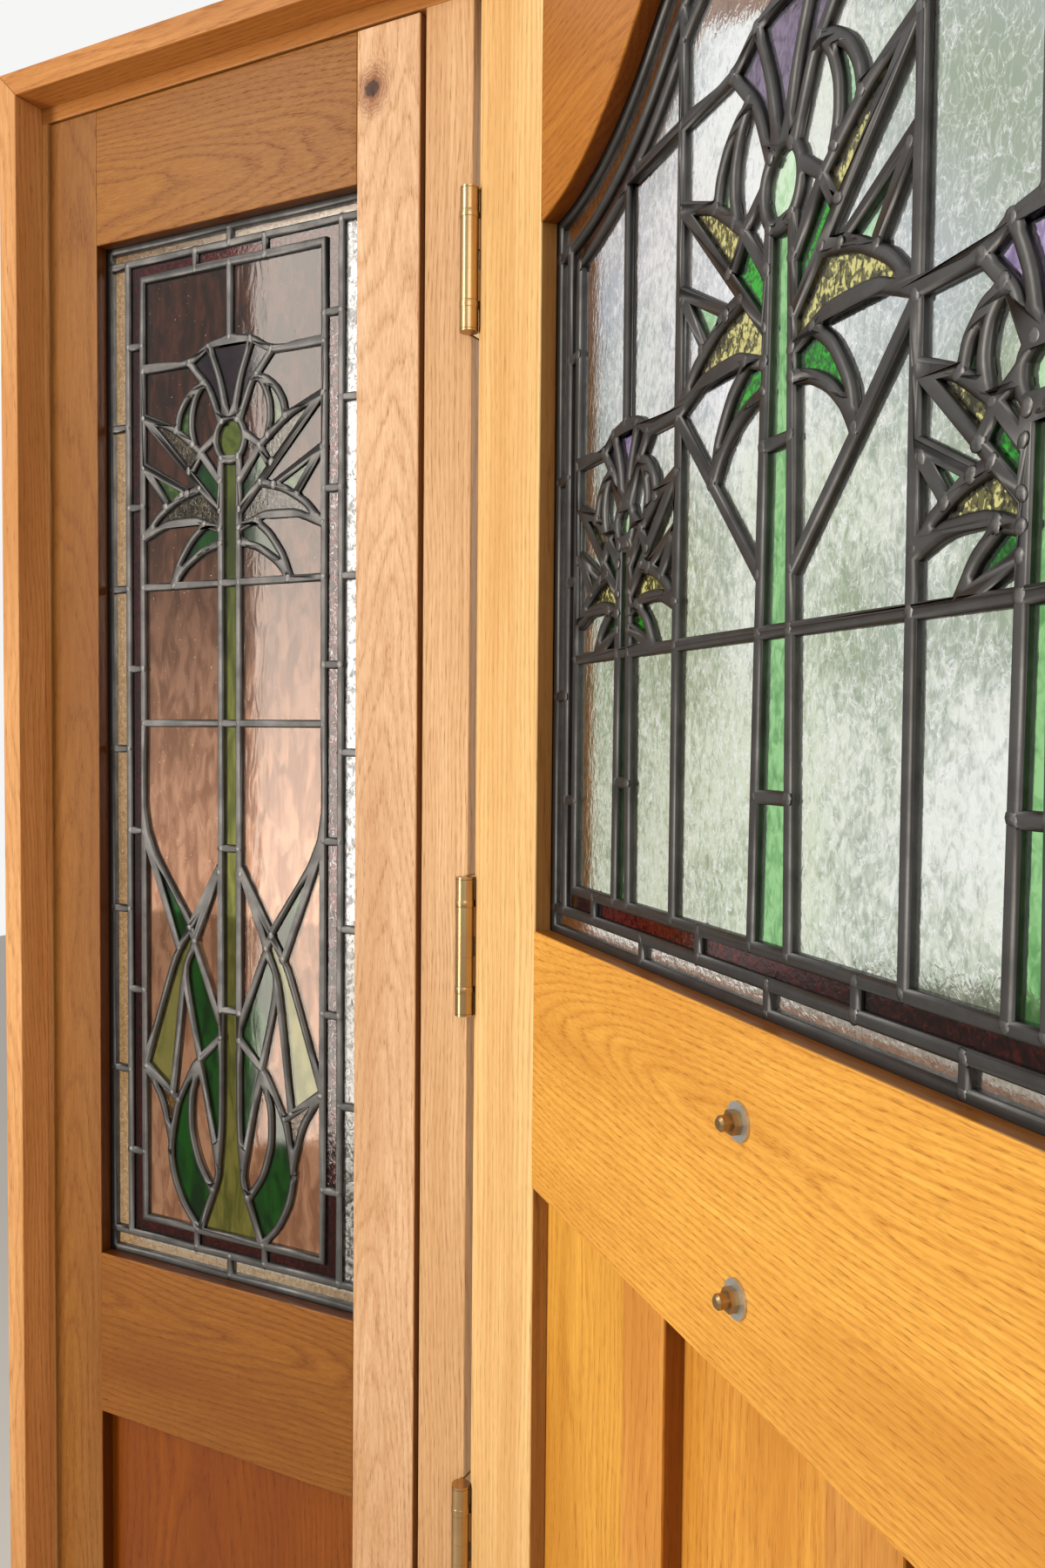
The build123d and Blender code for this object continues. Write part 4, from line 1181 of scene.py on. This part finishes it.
class DOOR_OT_frame_joinery(bpy.types.Operator):
    """Oak finish and eased arrises on the frame and its lining"""

    bl_idname = "door.frame_joinery"
    bl_label = "Oak of the frame"

    def execute(self, context):
        dress_boards(FRAME_BOARDS, 1)
        return {"FINISHED"}


class DOOR_OT_sidelight_joinery(bpy.types.Operator):
    """Oak finish and eased arrises on the sidelight's sash"""

    bl_idname = "door.sidelight_joinery"
    bl_label = "Oak of the sidelight"

    def execute(self, context):
        dress_boards(SASH_BOARDS, 1 + len(FRAME_BOARDS))
        return {"FINISHED"}


class DOOR_OT_leaf_joinery(bpy.types.Operator):
    """Oak finish and eased arrises on the door leaf"""

    bl_idname = "door.leaf_joinery"
    bl_label = "Oak of the leaf"

    def execute(self, context):
        dress_boards(DOOR_BOARDS, 1 + len(FRAME_BOARDS) + len(SASH_BOARDS))
        return {"FINISHED"}


class DOOR_OT_leaf_light(bpy.types.Operator):
    """Rounded cames, soldered joints and coloured panes of the door's light"""

    bl_idname = "door.leaf_light"
    bl_label = "Leaded light of the leaf"

    def execute(self, context):
        leaded_light("door", "leaf", DOOR_PATTERN, door_border, leaf_glasses())
        return {"FINISHED"}


class DOOR_OT_sidelight_light(bpy.types.Operator):
    """Rounded cames, soldered joints and coloured panes of the sidelight"""

    bl_idname = "door.sidelight_light"
    bl_label = "Leaded light of the sidelight"

    def execute(self, context):
        leaded_light("sash", "frame", SASH_PATTERN, sash_border, sidelight_glasses())
        return {"FINISHED"}


class DOOR_OT_hinges(bpy.types.Operator):
    """Polished brass hinges with their bearing rings and turned lines"""

    bl_idname = "door.hinges"
    bl_label = "Hinges"

    def execute(self, context):
        tints = context.scene.door_colours
        # Bright and smooth, a little browned in broad patches where no hand polishes it
        brass = metal("polished brass", tints.brass, 0.21, 40, dull=0.85, grit=0.01)
        # A fine turned line, painted dark as the shade in a groove, where little light reaches
        groove = metal("brass in the shade of a groove", toned(tints.brass, 0.25), 0.4, 5)
        fit_metal("hinges_frame", brass)
        fit_metal("hinges_door", brass)
        ring = context.scene.door_sizes.bearing_radius / MM
        bearings, lines = [], []
        for low in hinge_bottoms():
            top = low + HINGE_HEIGHT
            for start in (low + OUTER_KNUCKLE, top - OUTER_KNUCKLE - BEARING):
                bearings.append(turned_ring(ring, start, start + BEARING, BEARING_EASE))
            for height in (low + END_LINE, top - END_LINE):
                lines.append(turned_ring(BARREL_RADIUS + END_LINE_RISE, height - END_LINE_HALF,
                                         height + END_LINE_HALF, END_LINE_RISE))
        join_rings(bearings, "hinge_bearings", brass)
        join_rings(lines, "hinge_end_lines", groove)
        return {"FINISHED"}


class DOOR_OT_studs(bpy.types.Operator):
    """Satin brass studs, nuts and bosses with their plated washers"""

    bl_idname = "door.studs"
    bl_label = "Studs"

    def execute(self, context):
        tints = context.scene.door_colours
        # Turned and left dull, so it shows a wide soft shine
        satin = metal("satin brass", toned(tints.brass, 0.8), 0.3, 9, grit=0.02)
        # Grey white, with a faint mottle
        zinc = metal("zinc plated steel", tints.zinc, 0.36, 5, grit=0.02)
        for node in ("studs", "stud_nuts", "outside_bosses"):
            fit_metal(node, satin)
        fit_metal("stud_washers", zinc)
        return {"FINISHED"}


class DOOR_OT_seal(bpy.types.Operator):
    """Brown sealing strip on the stops"""

    bl_idname = "door.seal"
    bl_label = "Seal"

    def execute(self, context):
        # Dark matt rubber with a fine grain
        strip = plain("brown sealing strip", linear("3A2A1E"), linear("503A2A"), 400, 0.8)
        wear(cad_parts["weather_seal"], strip)
        return {"FINISHED"}


STEPS = (DOOR_OT_stage, DOOR_OT_frame_joinery, DOOR_OT_sidelight_joinery, DOOR_OT_leaf_joinery,
         DOOR_OT_leaf_light, DOOR_OT_sidelight_light, DOOR_OT_hinges, DOOR_OT_studs, DOOR_OT_seal)


class DOOR_PT_panel(bpy.types.Panel):
    """Lists the steps that dress the door"""

    bl_label = "Front door"
    bl_idname = "DOOR_PT_panel"
    bl_space_type = "VIEW_3D"
    bl_region_type = "UI"
    bl_category = "Front door"

    def draw(self, context):
        for step in STEPS:
            self.layout.operator(step.bl_idname)
        for group in (context.scene.door_sizes, context.scene.door_colours):
            box = self.layout.box()
            for name in group.bl_rna.properties.keys():
                if name not in ("rna_type", "name"):
                    box.prop(group, name)


CLASSES = (DoorSizes, DoorColours, *STEPS, DOOR_PT_panel)


def register():
    for kind in CLASSES:
        bpy.utils.register_class(kind)
    bpy.types.Scene.door_sizes = PointerProperty(type=DoorSizes)
    bpy.types.Scene.door_colours = PointerProperty(type=DoorColours)


def unregister():
    del bpy.types.Scene.door_sizes
    del bpy.types.Scene.door_colours
    for kind in reversed(CLASSES):
        bpy.utils.unregister_class(kind)


def main():
    """Runs every step in order."""
    register()
    bpy.ops.door.stage()
    bpy.ops.door.frame_joinery()
    bpy.ops.door.sidelight_joinery()
    bpy.ops.door.leaf_joinery()
    bpy.ops.door.leaf_light()
    bpy.ops.door.sidelight_light()
    bpy.ops.door.hinges()
    bpy.ops.door.studs()
    bpy.ops.door.seal()


if __name__ == "__main__":
    main()
